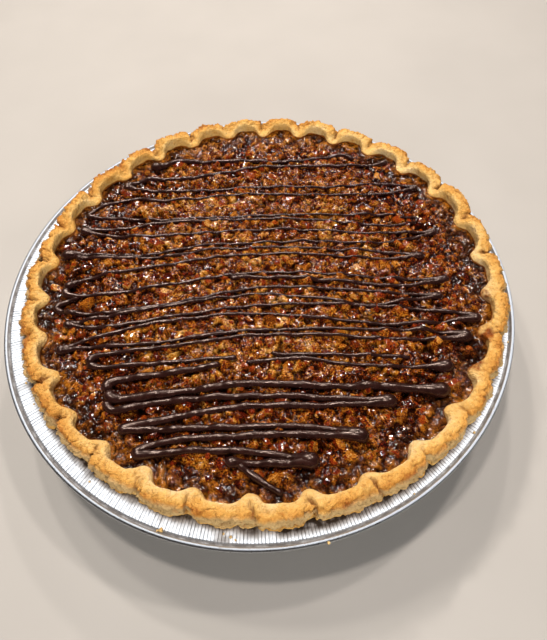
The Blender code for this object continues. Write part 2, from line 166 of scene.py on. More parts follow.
def soft_noise(points, size, seed):
    """Smooth noise from -1 to 1, with swells about this wide."""
    place = points / size
    low = np.floor(place)
    share = (place - low) ** 2 * (3 - 2 * (place - low))
    total = np.zeros(len(points))
    for corner in np.ndindex(*(2,) * points.shape[-1]):
        weight = np.prod(np.where(corner, share, 1 - share), axis=-1)
        total += weight * random_at(low + np.array(corner), seed)
    return 2 * total - 1


def grains(points, size, seed):
    """Distances to the nearest and second nearest point, the nearest one's number and its facet."""
    place = points / size
    low = np.floor(place)
    nearest = np.full(len(points), 9.0)
    second = np.full(len(points), 9.0)
    number, facet = np.zeros(len(points)), np.zeros(len(points))
    axes = range(points.shape[-1])
    for step in np.ndindex(*(3,) * points.shape[-1]):
        cell = low + np.array(step) - 1
        spot = cell + np.stack([random_at(cell, seed + k) for k in axes], -1)
        away = np.linalg.norm(place - spot, axis=-1)
        tilt = np.stack([random_at(cell, seed + 8 + k) - 0.5 for k in axes], -1)
        second = np.minimum(second, np.maximum(away, nearest))
        number = np.where(away < nearest, random_at(cell, seed + 7), number)
        facet = np.where(away < nearest, 2 * np.sum(tilt * (place - spot), axis=-1), facet)
        nearest = np.minimum(nearest, away)
    return nearest, second, number, facet


def mixed_noise(points, *parts):
    """The sum of soft noises, each with its strength, size and seed."""
    return sum(strength * soft_noise(points, size, seed) for strength, size, seed in parts)


def shifted(points, amount, size, seed):
    """Flat points pushed a little to the side by noise, so that what they make isn't too even."""
    return points + amount * np.stack([soft_noise(points, size, seed + k) for k in (0, 1)], -1)


def ramp_up(value, low, high):
    """A smooth step from 0 at low to 1 at high."""
    share = np.clip((value - low) / (high - low), 0, 1)
    return share * share * (3 - 2 * share)


def hump(away, half_width, squareness=2):
    """One in the middle, and less and less away from it."""
    return np.exp(-((away / half_width) ** squareness))


def smooth_between(a, b, c, d, t):
    """A smooth curve through four values, from the second at t = 0 to the third at t = 1."""
    return 0.5 * (2 * b + (c - a) * t + (2 * a - 5 * b + 4 * c - d) * t**2 + (3 * b - a - 3 * c + d) * t**3)


sample_points = np.random.default_rng(1).uniform(-50, 50, (2000, 2))
sample_noise = soft_noise(sample_points, 5, 1)
print("soft noise spans", sample_noise.min().round(2), "to", sample_noise.max().round(2))

# %% [markdown]
# ## Turning points into meshes
#
# The tin, the crust and the filling are all rings of points round a middle. The rings are joined
# to each other with quads, and a single point closes each end, so that the mesh has no hole.

# %% Mesh helpers
def put_in_scene(name, data):
    """A new object in the scene, for a mesh, a light or a camera."""
    obj = bpy.data.objects.new(name, data)
    bpy.context.scene.collection.objects.link(obj)
    return obj


def number_vertices(mesh, label, numbers):
    """Puts a number on each vertex, for a finish or a tree to read by this name."""
    layer = mesh.attributes.get(label) or mesh.attributes.new(label, "FLOAT", "POINT")
    layer.data.foreach_set("value", np.asarray(numbers, dtype=np.float32))


def new_object(name, points, faces, values, edges=()):
    """A smooth mesh object from points in millimetres, with named numbers on its vertices."""
    mesh = bpy.data.meshes.new(name)
    mesh.from_pydata((points * MM).tolist(), edges, faces)
    for label, numbers in values.items():
        number_vertices(mesh, label, numbers)
    mesh.shade_smooth()
    return put_in_scene(name, mesh)


def ring_faces(rows, columns, first=0):
    """Triangles between rings of points that follow one another, all round."""
    faces = []
    for row in range(rows - 1):
        low, high = first + row * columns, first + (row + 1) * columns
        for a in range(columns):
            b = (a + 1) % columns
            faces.append((low + a, low + b, high + b))
            faces.append((low + a, high + b, high + a))
    return faces


def closing_fan(middle, ring, columns, turned):
    """Triangles from a middle point to a ring."""
    faces = [(middle, ring + a, ring + (a + 1) % columns) for a in range(columns)]
    return [face[::-1] for face in faces] if turned else faces


def on_circle(radius, angle, height, centre=(0.0, 0.0)):
    """Points at a radius and a height round a centre."""
    shape = np.broadcast(radius, angle, height)
    x = np.broadcast_to(radius * np.cos(angle) + centre[0], shape.shape)
    y = np.broadcast_to(radius * np.sin(angle) + centre[1], shape.shape)
    return np.stack([x, y, np.broadcast_to(height, shape.shape)], -1)


def run_tree(base, tree, values, name):
    """Runs a geometry tree on an object and keeps the result as a plain mesh in a new object."""
    modifier = base.modifiers.new(tree.name, "NODES")
    modifier.node_group = tree
    for label, value in values.items():
        modifier[tree.interface.items_tree[label].identifier] = value
    bpy.context.view_layer.update()
    evaluated = base.evaluated_get(bpy.context.evaluated_depsgraph_get())
    mesh = bpy.data.meshes.new_from_object(evaluated)
    base.modifiers.remove(modifier)
    mesh.name = name
    print(name, "has", sum(len(p.vertices) - 2 for p in mesh.polygons), "triangles")
    return put_in_scene(name, mesh)


def new_tree(name, values):
    """A geometry tree with a named input for each of these values, and how to add its nodes."""
    tree = bpy.data.node_groups.new(name, "GeometryNodeTree")
    tree.interface.new_socket("Geometry", in_out="OUTPUT", socket_type="NodeSocketGeometry")
    kinds = {"Geometry": "Geometry"} | {k: type(v).__name__.capitalize() for k, v in values.items()}
    for label, kind in kinds.items():
        tree.interface.new_socket(label, in_out="INPUT", socket_type="NodeSocket" + kind)
    return tree, partial(add_node, tree), tree.nodes.new("NodeGroupInput").outputs


def end_tree(tree, geometry, material):
    """Realizes what a tree made, gives it its material and sends it out."""
    real = add_node(tree, "GeometryNodeRealizeInstances", (geometry,))
    painted = add_node(tree, "GeometryNodeSetMaterial", {0: real, "Material": material})
    add_node(tree, "NodeGroupOutput", (painted,))
    return tree


print("mesh helpers are ready")

# %% [markdown]
# ## Starting a material
#
# Every finish here starts from the same shader. One function makes a material, sets the numbers
# that are the same all over the surface on the shader's own sockets, and hands back the way to
# add nodes to it.

# %% Material helper
def new_material(name, **numbers):
    """A material with these numbers on its shader, how to add its nodes, and the shader."""
    material = bpy.data.materials.new(name)
    material.use_nodes = True
    shader = material.node_tree.nodes["Principled BSDF"]
    set_inputs(shader, {label.replace("_", " "): number for label, number in numbers.items()})
    return material, partial(add_node, material.node_tree), shader


print("material helpers are ready")

# %% [markdown]
# ## The camera
#
# The pie is seen from above at about 58 degrees, from close by, and the picture is turned a little.
# The camera's three axes are worked out from those angles. The lens follows from the width that the
# tin has in the picture.

# %% Camera
CAMERA_PLACE = Vector((0.0070, -0.1466, 0.2347))
CAMERA_RISE = math.radians(58.51)
CAMERA_ROLL = math.radians(-3.27)
FOCAL_PIXELS, IMAGE_HEIGHT, SENSOR = 505.0, 640, 36.0

look_back = Vector((0.0, -math.cos(CAMERA_RISE), math.sin(CAMERA_RISE)))
level_right = Vector((1.0, 0.0, 0.0))
level_up = look_back.cross(level_right)
camera_x = level_right * math.cos(CAMERA_ROLL) + level_up * math.sin(CAMERA_ROLL)
camera_y = level_up * math.cos(CAMERA_ROLL) - level_right * math.sin(CAMERA_ROLL)
camera = put_in_scene("camera", bpy.data.cameras.new("camera"))
turned = Matrix((camera_x, camera_y, look_back)).transposed().to_4x4()
camera.matrix_world = Matrix.Translation(CAMERA_PLACE) @ turned
camera.data.sensor_width = SENSOR
camera.data.lens = FOCAL_PIXELS / IMAGE_HEIGHT * SENSOR
camera.data.clip_start = 0.01
bpy.context.scene.camera = camera
print("lens", round(camera.data.lens, 1), "mm")

# %% [markdown]
# ## The foil tin
#
# A foil pie tin is stamped from one thin sheet. Its flat flange takes up the spare foil in hundreds
# of fine radial crimps, outside them runs a dull groove, and the edge is rolled into a bead. The
# wall has soft pleats from the same stamping. The plain shape is a section turned round the axis.
# The crimps and pleats repeat, so a geometry tree presses them in: it numbers the crimps by their
# angle, gives each number its own depth, and leaves that depth on the mesh as a number, so that the
# finish can paint a dip darker, as painted shade, since a bright sheet in a dip mirrors only its
# own other side.

# %% The tin's plain shape
CRIMPS = 540
# Where the columns of points stand in each crimp: its narrow dip is at the middle
COLUMN_SHARES = (0.0, 0.36, 0.5, 0.64)
COLUMNS = CRIMPS * len(COLUMN_SHARES)
PLEATS = 96


def arc(centre_x, centre_z, radius, start, end, count):
    """Points along an arc of the section, in degrees."""
    turns = np.radians(np.linspace(start, end, count))
    return [(centre_x + radius * math.cos(t), centre_z + radius * math.sin(t)) for t in turns]


def tin_section():
    """The section of the foil: up the inside, over the flange and bead, and down the outside."""
    bead_z = FLANGE - 0.35
    wall_low, wall_high = (BASE + CORNER, CORNER * 0.8), (MOUTH, FLANGE - 1.0)
    inside = [(60.0, FOIL), (BASE, FOIL), wall_low, (102.5, 16.6), wall_high]
    flange = [(MOUTH + 0.35, FLANGE - 0.25), (MOUTH + 0.9, FLANGE), (112.2, FLANGE), (115.5, FLANGE)]
    edge = [(118.8, FLANGE), (119.4, FLANGE - 0.05), (119.8, FLANGE - 0.5), (120.3, FLANGE - 0.6)]
    bead = arc(BEAD_CENTRE, bead_z, BEAD_RADIUS, 140, -150, 12)
    under = [(x - 0.05, z - FOIL) for x, z in reversed(edge[:-1])]
    under += [(115.5, FLANGE - FOIL), (112.2, FLANGE - FOIL), (MOUTH + 0.9, FLANGE - FOIL)]
    under += [(MOUTH + 0.5, FLANGE - 0.9)]
    wall = []
    for share in np.linspace(0.06, 1.0, 9):
        x = MOUTH + FOIL + share * (wall_low[0] - MOUTH)
        wall.append((x, FLANGE - 1.0 + share * (wall_low[1] - FLANGE + 1.0)))
    outside = [(BASE + CORNER * 0.6, 0.35), (BASE - 0.4, 0.02), (60.0, 0.0)]
    return inside + flange + edge + bead + under + wall + outside


section = np.array(tin_section())
crimp_columns = np.add.outer(np.arange(CRIMPS), COLUMN_SHARES)
angles = crimp_columns.ravel() * math.tau / CRIMPS
rings = on_circle(section[:, :1], angles[None, :], section[:, 1:]).reshape(-1, 3)
tin_points = np.vstack([rings, [[0, 0, FOIL], [0, 0, 0]]])
tin_faces = ring_faces(len(section), COLUMNS)
tin_faces += closing_fan(len(rings), 0, COLUMNS, False)
tin_faces += closing_fan(len(rings) + 1, len(rings) - COLUMNS, COLUMNS, True)
plain_tin = new_object("plain_tin", tin_points, tin_faces, {})
print("tin:", len(section), "rings,", len(tin_faces), "triangles")

# %% [markdown]
# ## What the foil looks like
#
# Household foil is soft rolled aluminium, with one bright side. It mirrors its surroundings with
# fine rolling lines, so it reads almost white on the flange and goes dull in the groove, where
# butter and baking have left a brown film. The rolled edge is painted greyer, as a painted dark
# reflection, and each crimp's dip is painted darker, as painted shade. By the pastry's foot the
# film also holds painted shade from the crust's overhang. Metal keeps the default IOR, and the film
# is a second colour that lowers the shine.

# %% Rolled aluminium foil
def foil_finish():
    material, add, shader = new_material("rolled_aluminium_foil_stamped", Metallic=1.0)
    place = add("TexCoord").outputs["Object"]
    parts = add("SeparateXYZ", (place,)).outputs
    flat = add("CombineXYZ", (parts[0], parts[1]))
    radius = add("VectorMath", (flat,), operation="LENGTH")
    rolled = add("TexNoise", {"Vector": place, "Scale": 1 / (1.2 * MM), "Detail": 4.0})
    blotch = add("TexNoise", {"Vector": place, "Scale": 1 / (3.0 * MM), "Detail": 2.0})
    from_groove = add("Math", (radius, 120.0 * MM), operation="SUBTRACT")
    from_groove = add("Math", (from_groove,), operation="ABSOLUTE")
    groove = add("MapRange", (from_groove, 0.3 * MM, 0.8 * MM, 0.8, 0.0))
    grease_and_foot_shade = add("Attribute", attribute_name="grease_and_foot_shade").outputs["Fac"]
    # The film is the groove's brown film and the grease by the foot, which also holds painted shade
    film = add("Math", (grease_and_foot_shade, groove), operation="MAXIMUM")
    thinned = add("MapRange", (blotch, 0.3, 0.6, 0.55, 1.0))
    film = add("Math", (film, thinned), operation="MULTIPLY")
    # Painted shade: each crimp's dip is painted darker, as the dip mirrors only the foil's other side
    dip = add("Attribute", attribute_name="dip").outputs["Fac"]
    dull = add("Math", (rolled, 0.5, dip), operation="MULTIPLY_ADD")
    # The darker stops of this ramp are the painted shade in the dips
    metal = add("ValToRGB", (dull,), stops=((0.3, "#f1f2f3"), (0.5, "#b9bdc2"), (1.0, "#4c5157")))
    # Painted dark reflection: the rolled edge is painted a greyer metal
    bead_painted_grey = add("MapRange", (radius, 120.4 * MM, 121.2 * MM, 0.0, 0.7))
    metal = add("Mix", {0: bead_painted_grey, 6: metal, 7: linear("#8b9097")}, data_type="RGBA")
    # Brown film, darkest by the pastry's foot, where it is also painted shade
    dirt_and_shade = add("ValToRGB", (film,), stops=((0.0, "#8a7350"), (0.6, "#6a5236"), (1.0, "#3a2a1a")))
    colour = add("Mix", {0: film, 6: metal, 7: dirt_and_shade}, data_type="RGBA")
    rough = add("MapRange", (rolled, 0.3, 0.7, 0.26, 0.4))
    rough = add("Math", (film, 0.35, rough), operation="MULTIPLY_ADD")
    bump = add("Bump", {"Strength": 0.25, "Distance": 0.3 * MM, "Height": rolled})
    bare = add("Math", (film, -0.85, 1.0), operation="MULTIPLY_ADD")
    set_inputs(shader, {"Base Color": colour, "Metallic": bare, "Roughness": rough, "Normal": bump})
    return material


foil = foil_finish()
print("made", foil.name)

# %% Crimps and pleats, pressed in by a tree
crimp_sizes = {"Crimps": CRIMPS, "Crimp depth": 0.11 * MM, "Pleats": PLEATS, "Pleat depth": 0.5 * MM}
crimp_sizes |= {"Inner radius": 111.5 * MM, "Outer radius": 119.6 * MM, "Wall top": 30.5 * MM, "Seed": 4}


def crimp_tree(material):
    tree, add, given = new_tree("foil_crimps", crimp_sizes)
    parts = add("SeparateXYZ", (add("GeometryNodeInputPosition"),)).outputs
    angle = add("Math", (parts[1], parts[0]), operation="ARCTAN2")
    turn = add("Math", (angle, 1 / math.tau, 1.0), operation="MULTIPLY_ADD")
    flat = add("CombineXYZ", (parts[0], parts[1]))
    radius = add("VectorMath", (flat,), operation="LENGTH")

    def rib(count, seed_step):
        """A rib's rise at this angle, from 0 to 1, and the rib's own random number."""
        along = add("Math", (turn, count), operation="MULTIPLY")
        share = add("Math", (along,), operation="FRACT")
        side = add("Math", (share, 0.5), operation="SUBTRACT")
        side = add("Math", (side,), operation="ABSOLUTE")
        number = add("Math", (along,), operation="FLOOR")
        seed = add("Math", (given["Seed"], seed_step))
        key = add("CombineXYZ", (number, seed))
        chance = add("TexWhiteNoise", {"Vector": key})
        rise = add("Math", (side, -2.0, 1.0), operation="MULTIPLY_ADD")
        return rise, chance.outputs[0]

    crimp, crimp_chance = rib(given["Crimps"], 0.0)
    uneven = add("Math", (crimp_chance, 0.6, 0.4), operation="MULTIPLY_ADD")
    narrow = add("Math", (crimp, 8.0), operation="POWER")
    deep = add("Math", (narrow, uneven), operation="MULTIPLY")
    inner_end = add("Math", (given["Inner radius"], 1.2 * MM))
    outer_start = add("Math", (given["Outer radius"], 0.6 * MM), operation="SUBTRACT")
    starts = add("MapRange", (radius, given["Inner radius"], inner_end))
    ends = add("MapRange", (radius, given["Outer radius"], outer_start))
    on_flange = add("Math", (starts, ends), operation="MULTIPLY")
    dip = add("Math", (deep, on_flange), operation="MULTIPLY")
    drop = add("Math", (dip, given["Crimp depth"]), operation="MULTIPLY")
    pleat, pleat_chance = rib(given["Pleats"], 5.0)
    uneven = add("Math", (pleat_chance, 0.1))
    wide = add("Math", (pleat, uneven), operation="MULTIPLY")
    wall_end = add("Math", (given["Wall top"], 4.0 * MM), operation="SUBTRACT")
    low = add("MapRange", (parts[2], 2.0 * MM, 9.0 * MM))
    high = add("MapRange", (parts[2], given["Wall top"], wall_end))
    on_wall = add("Math", (low, high), operation="MULTIPLY")
    inward = add("Math", (wide, given["Pleat depth"]), operation="MULTIPLY")
    inward = add("Math", (inward, on_wall), operation="MULTIPLY")
    outward = add("VectorMath", (flat,), operation="NORMALIZE")
    push = add("VectorMath", {0: outward, "Scale": inward}, operation="SCALE")
    sink = add("CombineXYZ", {2: drop})
    offset = add("VectorMath", (push, sink))
    offset = add("VectorMath", {0: offset, "Scale": -1.0}, operation="SCALE")
    # The dip's depth is also stored, and the foil's finish paints it darker as shade
    marked = add("GeometryNodeStoreNamedAttribute", {0: given["Geometry"], "Name": "dip", "Value": dip})
    moved = add("GeometryNodeSetPosition", {0: marked, "Offset": offset})
    return end_tree(tree, moved, material)


tin = run_tree(plain_tin, crimp_tree(foil), crimp_sizes, "crimped_foil_tin")
bpy.data.objects.remove(plain_tin, do_unlink=True)

# %% [markdown]
# ## Grease on the foil
#
# Butter and crumbs have left brown film on the foil close to the pastry's foot, with some spots
# nearer the edge. The band by the foot is also painted shade, where the crust's overhang shades the
# foil. A number on each vertex says how much film and painted shade lies there, and the foil's
# material reads it. That keeps the marks where they are from every side.

# %% Where the film and the painted shade lie
# Each spot's angle, radius and size, and how thick the film is there
SPOTS = ((-98.1, 117.6, 3.4, 0.8), (-95.5, 116.2, 2.4, 0.5), (-44.0, 116.9, 2.6, 0.4))
SPOTS += ((-128.0, 116.5, 2.5, 0.35), (-79.0, 117.0, 2.0, 0.35), (-62.0, 117.5, 2.2, 0.3))
SPOTS += ((150.0, 118.0, 2.5, 0.3), (205.0, 116.8, 3.0, 0.3))
tin_vertices = np.zeros(len(tin.data.vertices) * 3, dtype=np.float32)
tin.data.vertices.foreach_get("co", tin_vertices)
tin_vertices = tin_vertices.reshape(-1, 3).astype(float) / MM
pie_radius = np.hypot(tin_vertices[:, 0] - PIE_CENTRE[0], tin_vertices[:, 1])
patchy = 0.75 + 0.35 * soft_noise(tin_vertices, 6.0, 2)
close = -pie_radius + 0.6 * soft_noise(tin_vertices, 2.5, 5)
# The band by the pastry's foot is grease and painted shade from the crust's overhang; the spots are grease
grease_and_foot_shade = 0.45 * ramp_up(close, -117.2, -115.4) * patchy + 0.8 * ramp_up(close, -116.1, -115.2)
for degrees, radius, size, strength in SPOTS:
    spot = on_circle(radius, math.radians(degrees), FLANGE)
    away = np.linalg.norm(tin_vertices - spot, axis=1) * (1 + 0.4 * soft_noise(tin_vertices, 1.6, 3))
    grease_and_foot_shade = np.maximum(grease_and_foot_shade, strength * ramp_up(-away, -size, -size * 0.4))
grease_and_foot_shade *= tin_vertices[:, 2] > FLANGE - 1.5
number_vertices(tin.data, "grease_and_foot_shade", grease_and_foot_shade)
tin.data.shade_smooth()
print("film on", int((grease_and_foot_shade > 0.2).sum()), "vertices")

# %% [markdown]
# ## The pastry rim
#
# The rim was shaped with one finger of one hand pushed between two of the other. Each push leaves a
# wide scoop, and between two scoops a narrow knuckle of dough points in over the filling, with a
# cleft behind it. The rule is the same one that the solid follows: a section from the foot over the
# crest to the filling, and at each angle a share of knuckle and of cleft. Here it is read at more
# than a thousand angles and many more heights, which is fine enough for crags and cracks.

# %% The rule of the flutes
FIRST_KNUCKLE = math.radians(171.0)
UNEVEN_PACE = ((1, 0.66, 180), (2, 0.44, 27), (3, 0.79, 50), (4, 0.34, -145))
FLUTE_SHARES = np.array((0.0, 0.10, 0.25, 0.50, 0.75, 0.90))
# The half width and the squareness of a knuckle, of its sag and of its cleft
KNUCKLE, SAG, CLEFT = (4.9, 2.8), (5.5, 1.8), (2.3, 1.5)
CREST_RISE, CREST_UNEVENNESS, FAR_SAG = 0.3, 0.7, 0.45
# From under the foot over the crest to the filling: radius, height above the flange, then how far
# a knuckle pulls in and sags, a cleft cuts in and the edge is ragged
RIM_SECTION = np.array(
    (
        (113.4, 0.90, 0.0, 0.0, 1.4, 0.2),
        (114.7, 2.30, 0.2, 0.0, 2.6, 0.8),
        (114.3, 6.00, 0.3, 0.4, 2.2, 0.5),
        (113.3, 9.20, 0.5, 0.9, 1.2, 0.3),
        (110.7, 11.10, 1.0, 1.4, 0.4, 0.2),
        (107.5, 10.30, 2.3, 2.5, 0.0, 0.1),
        (107.7, 5.60, 5.2, 0.0, 0.0, 0.0),
        (107.2, 2.20, 4.7, 0.0, 0.0, 0.0),
    )
)

draw = random.Random(9)


def draw_flutes(low, high, count=FLUTES):
    """One random number for each flute."""
    return np.array([draw.uniform(low, high) for _ in range(count)])


turns = np.arange(FLUTES + 1) * math.tau / FLUTES
pace = sum(a * np.sin(n * turns + math.radians(p)) for n, a, p in UNEVEN_PACE)
knuckle_angles = FIRST_KNUCKLE + turns + np.radians(pace)
reach = draw_flutes(0.82, 1.15)
lift = CREST_RISE + CREST_UNEVENNESS * draw_flutes(-1.0, 1.0)
skew = draw_flutes(0.6, 1.6)
cleft_depth = draw_flutes(0.25, 1.3)
rag_angles = (knuckle_angles[:-1, None] + FLUTE_SHARES * np.diff(knuckle_angles)[:, None]).ravel()
rag_values = draw_flutes(-1.0, 1.0, len(rag_angles))


def flutes_at(angle):
    """The share of knuckle, sag and cleft, the crest's lift, the rag, the nearest knuckle, the side."""
    around = (angle - knuckle_angles[0]) % math.tau + knuckle_angles[0]
    i = np.clip(np.searchsorted(knuckle_angles, around, side="right") - 1, 0, FLUTES - 1)
    width = knuckle_angles[i + 1] - knuckle_angles[i]
    share = (around - knuckle_angles[i]) / width
    near = np.where(share < 0.5, i, (i + 1) % FLUTES)
    off = np.minimum(share, 1 - share) * width * RIM_RADIUS
    sag = hump(off, *SAG) * reach[near] * (1 + FAR_SAG * np.sin(knuckle_angles[near]))
    rise = lift[i] * np.sin(math.pi * share ** skew[i])
    rag = np.interp(around, rag_angles, rag_values, period=math.tau)
    side = np.where(share < 0.5, off, -off)
    knuckle, cleft = hump(off, *KNUCKLE) * reach[near], hump(off, *CLEFT) * cleft_depth[near]
    return knuckle, sag, cleft, rise, rag, near, side


def section_at(where):
    """The rim's section, smoothed, at places from 0 at the foot to 7 at the filling."""
    last = len(RIM_SECTION) - 1
    i = np.clip(np.floor(where).astype(int), 0, last - 1)
    four = (RIM_SECTION[np.clip(i + k, 0, last)] for k in (-1, 0, 1, 2))
    return smooth_between(*four, (where - i)[:, None])


print("knuckles every", round(math.tau * RIM_RADIUS / FLUTES, 1), "mm")

# %% The rim as a grid of points
CRUST_COLUMNS = 1440
CRUST_ROWS = 58
crust_angles = np.linspace(0, math.tau, CRUST_COLUMNS, endpoint=False)
knuckle, sag, cleft, rise, rag, near, side = (values[None, :] for values in flutes_at(crust_angles))
places = np.linspace(0, 7, CRUST_ROWS)
radius, height, pull, drop, cut, ragged = (values[:, None] for values in section_at(places).T)
places = places[:, None]


def knuckle_luck(seed):
    """A random number from 0 to 1 for each knuckle, at each column."""
    return random_at(np.stack([near[0], near[0] * 0 + 3], -1), seed)[None, :]


edge_points = on_circle(RIM_RADIUS, crust_angles, 0.0)
torn = mixed_noise(edge_points, (0.5, 3.2, 51), (0.4, 1.3, 52))
waver = mixed_noise(edge_points, (0.5, 9.0, 53), (0.35, 4.5, 54))
foot = hump(places - 1.0, 0.7)
rim_radius = radius - pull * knuckle - cut * cleft + ragged * rag + foot * 1.1 * torn + 0.5 * waver
high = ramp_up(height, 3.0, 8.0)
rim_height = FLANGE + height + rise * high - drop * sag + foot * 0.4 * torn[::-1][None, :]
rim_points = on_circle(rim_radius, crust_angles[None, :], rim_height)
print("rim grid:", rim_points.shape)

# %% [markdown]
# ## Crags, pits and cracks in the crust
#
# Shortcrust is sandy: it has dimples from the fingers, fine grit, small pits where butter melted,
# wrinkles, a fold line where the edge was tucked under, and cracks at some knuckles. At others one
# layer of dough overlaps the next, and the left side crumbled most. Each of these moves the grid's
# points along the surface's own normal, so they are real relief and show at the outline.

# %% Relief of the crust
def grid_normals(points):
    """Outward normals of a grid of points that is closed round its columns."""
    along = np.roll(points, -1, axis=1) - np.roll(points, 1, axis=1)
    up = np.gradient(points, axis=0)
    normal = np.cross(along, up)
    return normal / np.maximum(np.linalg.norm(normal, axis=-1, keepdims=True), 1e-9)


flat_points = rim_points.reshape(-1, 3)
shape = rim_points.shape[:2]


def over_rim(values):
    return values.reshape(shape)


unevenness = ((0.40, 7.0, 61), (0.32, 3.4, 62), (0.24, 1.6, 63), (0.12, 0.9, 64))
swell_and_grit = over_rim(mixed_noise(flat_points, *unevenness))
pit_near, _, pit_number, _ = grains(flat_points, 2.7, 65)
pits = over_rim(np.where(pit_number < 0.24, ramp_up(-pit_near, -0.32, -0.05), 0.0))
bent_points = flat_points + 0.9 * soft_noise(flat_points, 2.0, 66)[:, None]
flake_near, flake_second, flake_number, flake_facet = grains(bent_points, 4.2, 67)
flake = over_rim((flake_number - 0.5) * 0.38)
flake_edge = over_rim(ramp_up(-(flake_second - flake_near), -0.12, 0.0))
_, _, crumb_number, crumb_facet = grains(bent_points, 1.9, 167)
craggy = over_rim(0.55 * flake_facet + 0.22 * crumb_facet + 0.14 * (crumb_number - 0.5))
wrinkle = over_rim(ramp_up(-np.abs(soft_noise(bent_points, 4.6, 74)), -0.16, -0.02))

# The left of the rim is the most crumbly, at this angle in degrees
CRUMBLY_SIDE = 150.0
outer = ramp_up(-places, -4.0, -2.8)
inner = ramp_up(places, 4.4, 5.2)
fold_height = 4.3 + 1.1 * soft_noise(edge_points, 14.0, 68)[None, :]
fold = hump(height - fold_height, 0.75) * outer
wander = over_rim(1.1 * soft_noise(flat_points, 2.6, 69))
on_top = ramp_up(places, 2.2, 3.0) * ramp_up(-places, -5.2, -4.6)
cracked = knuckle_luck(12) < 0.45
crack = hump(side + 1.6 * wander, 0.5) * on_top * cracked
slant = (knuckle_luck(22) - 0.5) * 2.2
crease_middle = 3.4 * (knuckle_luck(23) - 0.5) + slant * (places - 3.5)
from_crease = side - crease_middle + 0.5 * wander
crease_strength = ramp_up(-places, -5.2, -4.3) * (0.5 + 0.5 * knuckle_luck(24))
crease = hump(np.abs(from_crease), 0.55, 1.6) * crease_strength
overlap = 0.5 * np.tanh(from_crease / 0.4) * np.exp(-np.abs(from_crease) / 2.6) * crease_strength
overlap = overlap * np.where(knuckle_luck(25) < 0.5, -1.0, 1.0)

crumbly_side = np.clip(np.cos(crust_angles - math.radians(CRUMBLY_SIDE)), 0, 1)[None, :]
crumbly = 1 + 0.9 * crumbly_side
relief = swell_and_grit * (1 - 0.5 * inner) + flake * (1 - 0.8 * inner)
relief -= 0.6 * pits * (1 - 0.7 * inner) + 0.15 * flake_edge * (1 - inner)
relief += craggy * crumbly * (1.1 + 0.9 * outer) * (1 - 0.85 * inner) * (1 - 0.5 * foot)
relief += 1.8 * overlap - 0.6 * wrinkle * crumbly * (1 - inner) - 1.0 * fold - 1.3 * crack - 1.7 * crease
ends = ramp_up(places, 0.0, 0.6)
rim_points = rim_points + grid_normals(rim_points) * (relief * ends)[..., None]
rim_points[..., 2] = np.clip(rim_points[..., 2], FLANGE + 0.35, cad_box[1].z / MM - 0.05)
print("highest point", rim_points[..., 2].max().round(2), "mm")

# %% [markdown]
# ## How brown the crust is
#
# An oven browns what stands up and out: the crest is deep gold, most of all along its outer edge,
# and the outer wall below the fold and the inside of each scoop stay paler. The outer wall is also
# painted greyer and darker, as painted shade, and the inside of each scoop paler still, as painted
# light. Creases, cracks, pits and wrinkles are darkened, as painted shade. The crumbly left side
# baked a little longer. On the right, syrup boiled over and left a dark orange stain. These
# amounts are numbers on the vertices, and the material reads them.

# %% Browning, painted light and shade, creases and the syrup stain
bake = 0.37 + 0.38 * hump(places - 3.2, 0.9) + over_rim(0.22 * soft_noise(flat_points, 9.0, 71))
# Paler inside each scoop: partly less browning, partly painted light
bake += 0.35 * flake + 0.10 * foot - 0.16 * inner * (1 - 0.4 * knuckle) + 0.16 * crumbly_side
ragged_edge = over_rim(mixed_noise(flat_points, (0.3, 5.0, 75), (0.15, 2.0, 76)))
# The outer wall is painted greyer and darker: partly less browning, partly painted shade
shaded_wall = ramp_up(-places + ragged_edge, -3.5, -2.7) * ramp_up(places, 1.0, 1.4)
# Painted shade: a darker colour in creases, cracks, the fold, pits, flake edges and wrinkles
crease_and_pit_shade = 0.85 * crack + 0.25 * fold + 0.5 * pits + 0.9 * crease + 0.1 * flake_edge
crease_and_pit_shade = np.clip(crease_and_pit_shade + 0.22 * wrinkle * (1 - inner), 0, 1)
STAIN = ((-12.5, 5.0, 3.5), (-17.0, 5.0, 4.0), (-23.0, 4.0, 5.0), (-31.0, 3.5, 4.5))
stain = np.zeros(shape)
for degrees, half_width, stain_depth in STAIN:
    away = np.abs((np.degrees(crust_angles) - degrees + 180) % 360 - 180)[None, :] / half_width
    inside = (rim_radius - 102.5) / (stain_depth * 1.2)
    amount = ramp_up(-(away**2) - np.maximum(inside, 0) ** 2, -1.25, -0.35)
    stain = np.maximum(stain, amount)
stain_noise = over_rim(mixed_noise(flat_points, (0.6, 2.6, 72), (0.3, 1.1, 73)))
wet_line = ramp_up(-(rim_points[..., 2] - FILLING_LEVEL - 0.5 * stain_noise), -1.1, -0.2) * inner
stain = np.maximum(np.clip(stain * (0.75 + stain_noise), 0, 1), 0.8 * wet_line)
print("stained share", round(float((stain > 0.4).mean()), 3))

# %% The closed pastry case
def hidden_rings(angles, *rings):
    """Hidden rings of a piece, which sits in the tin and so goes round the tin's centre."""
    return [on_circle(radius, angles, height) for radius, height in rings]


def tin_inside(height):
    """The tin's inner radius at a height on its sloping wall."""
    return BASE + CORNER + (height - 2.0) / (FLANGE - 3.0) * (MOUTH - BASE - CORNER)


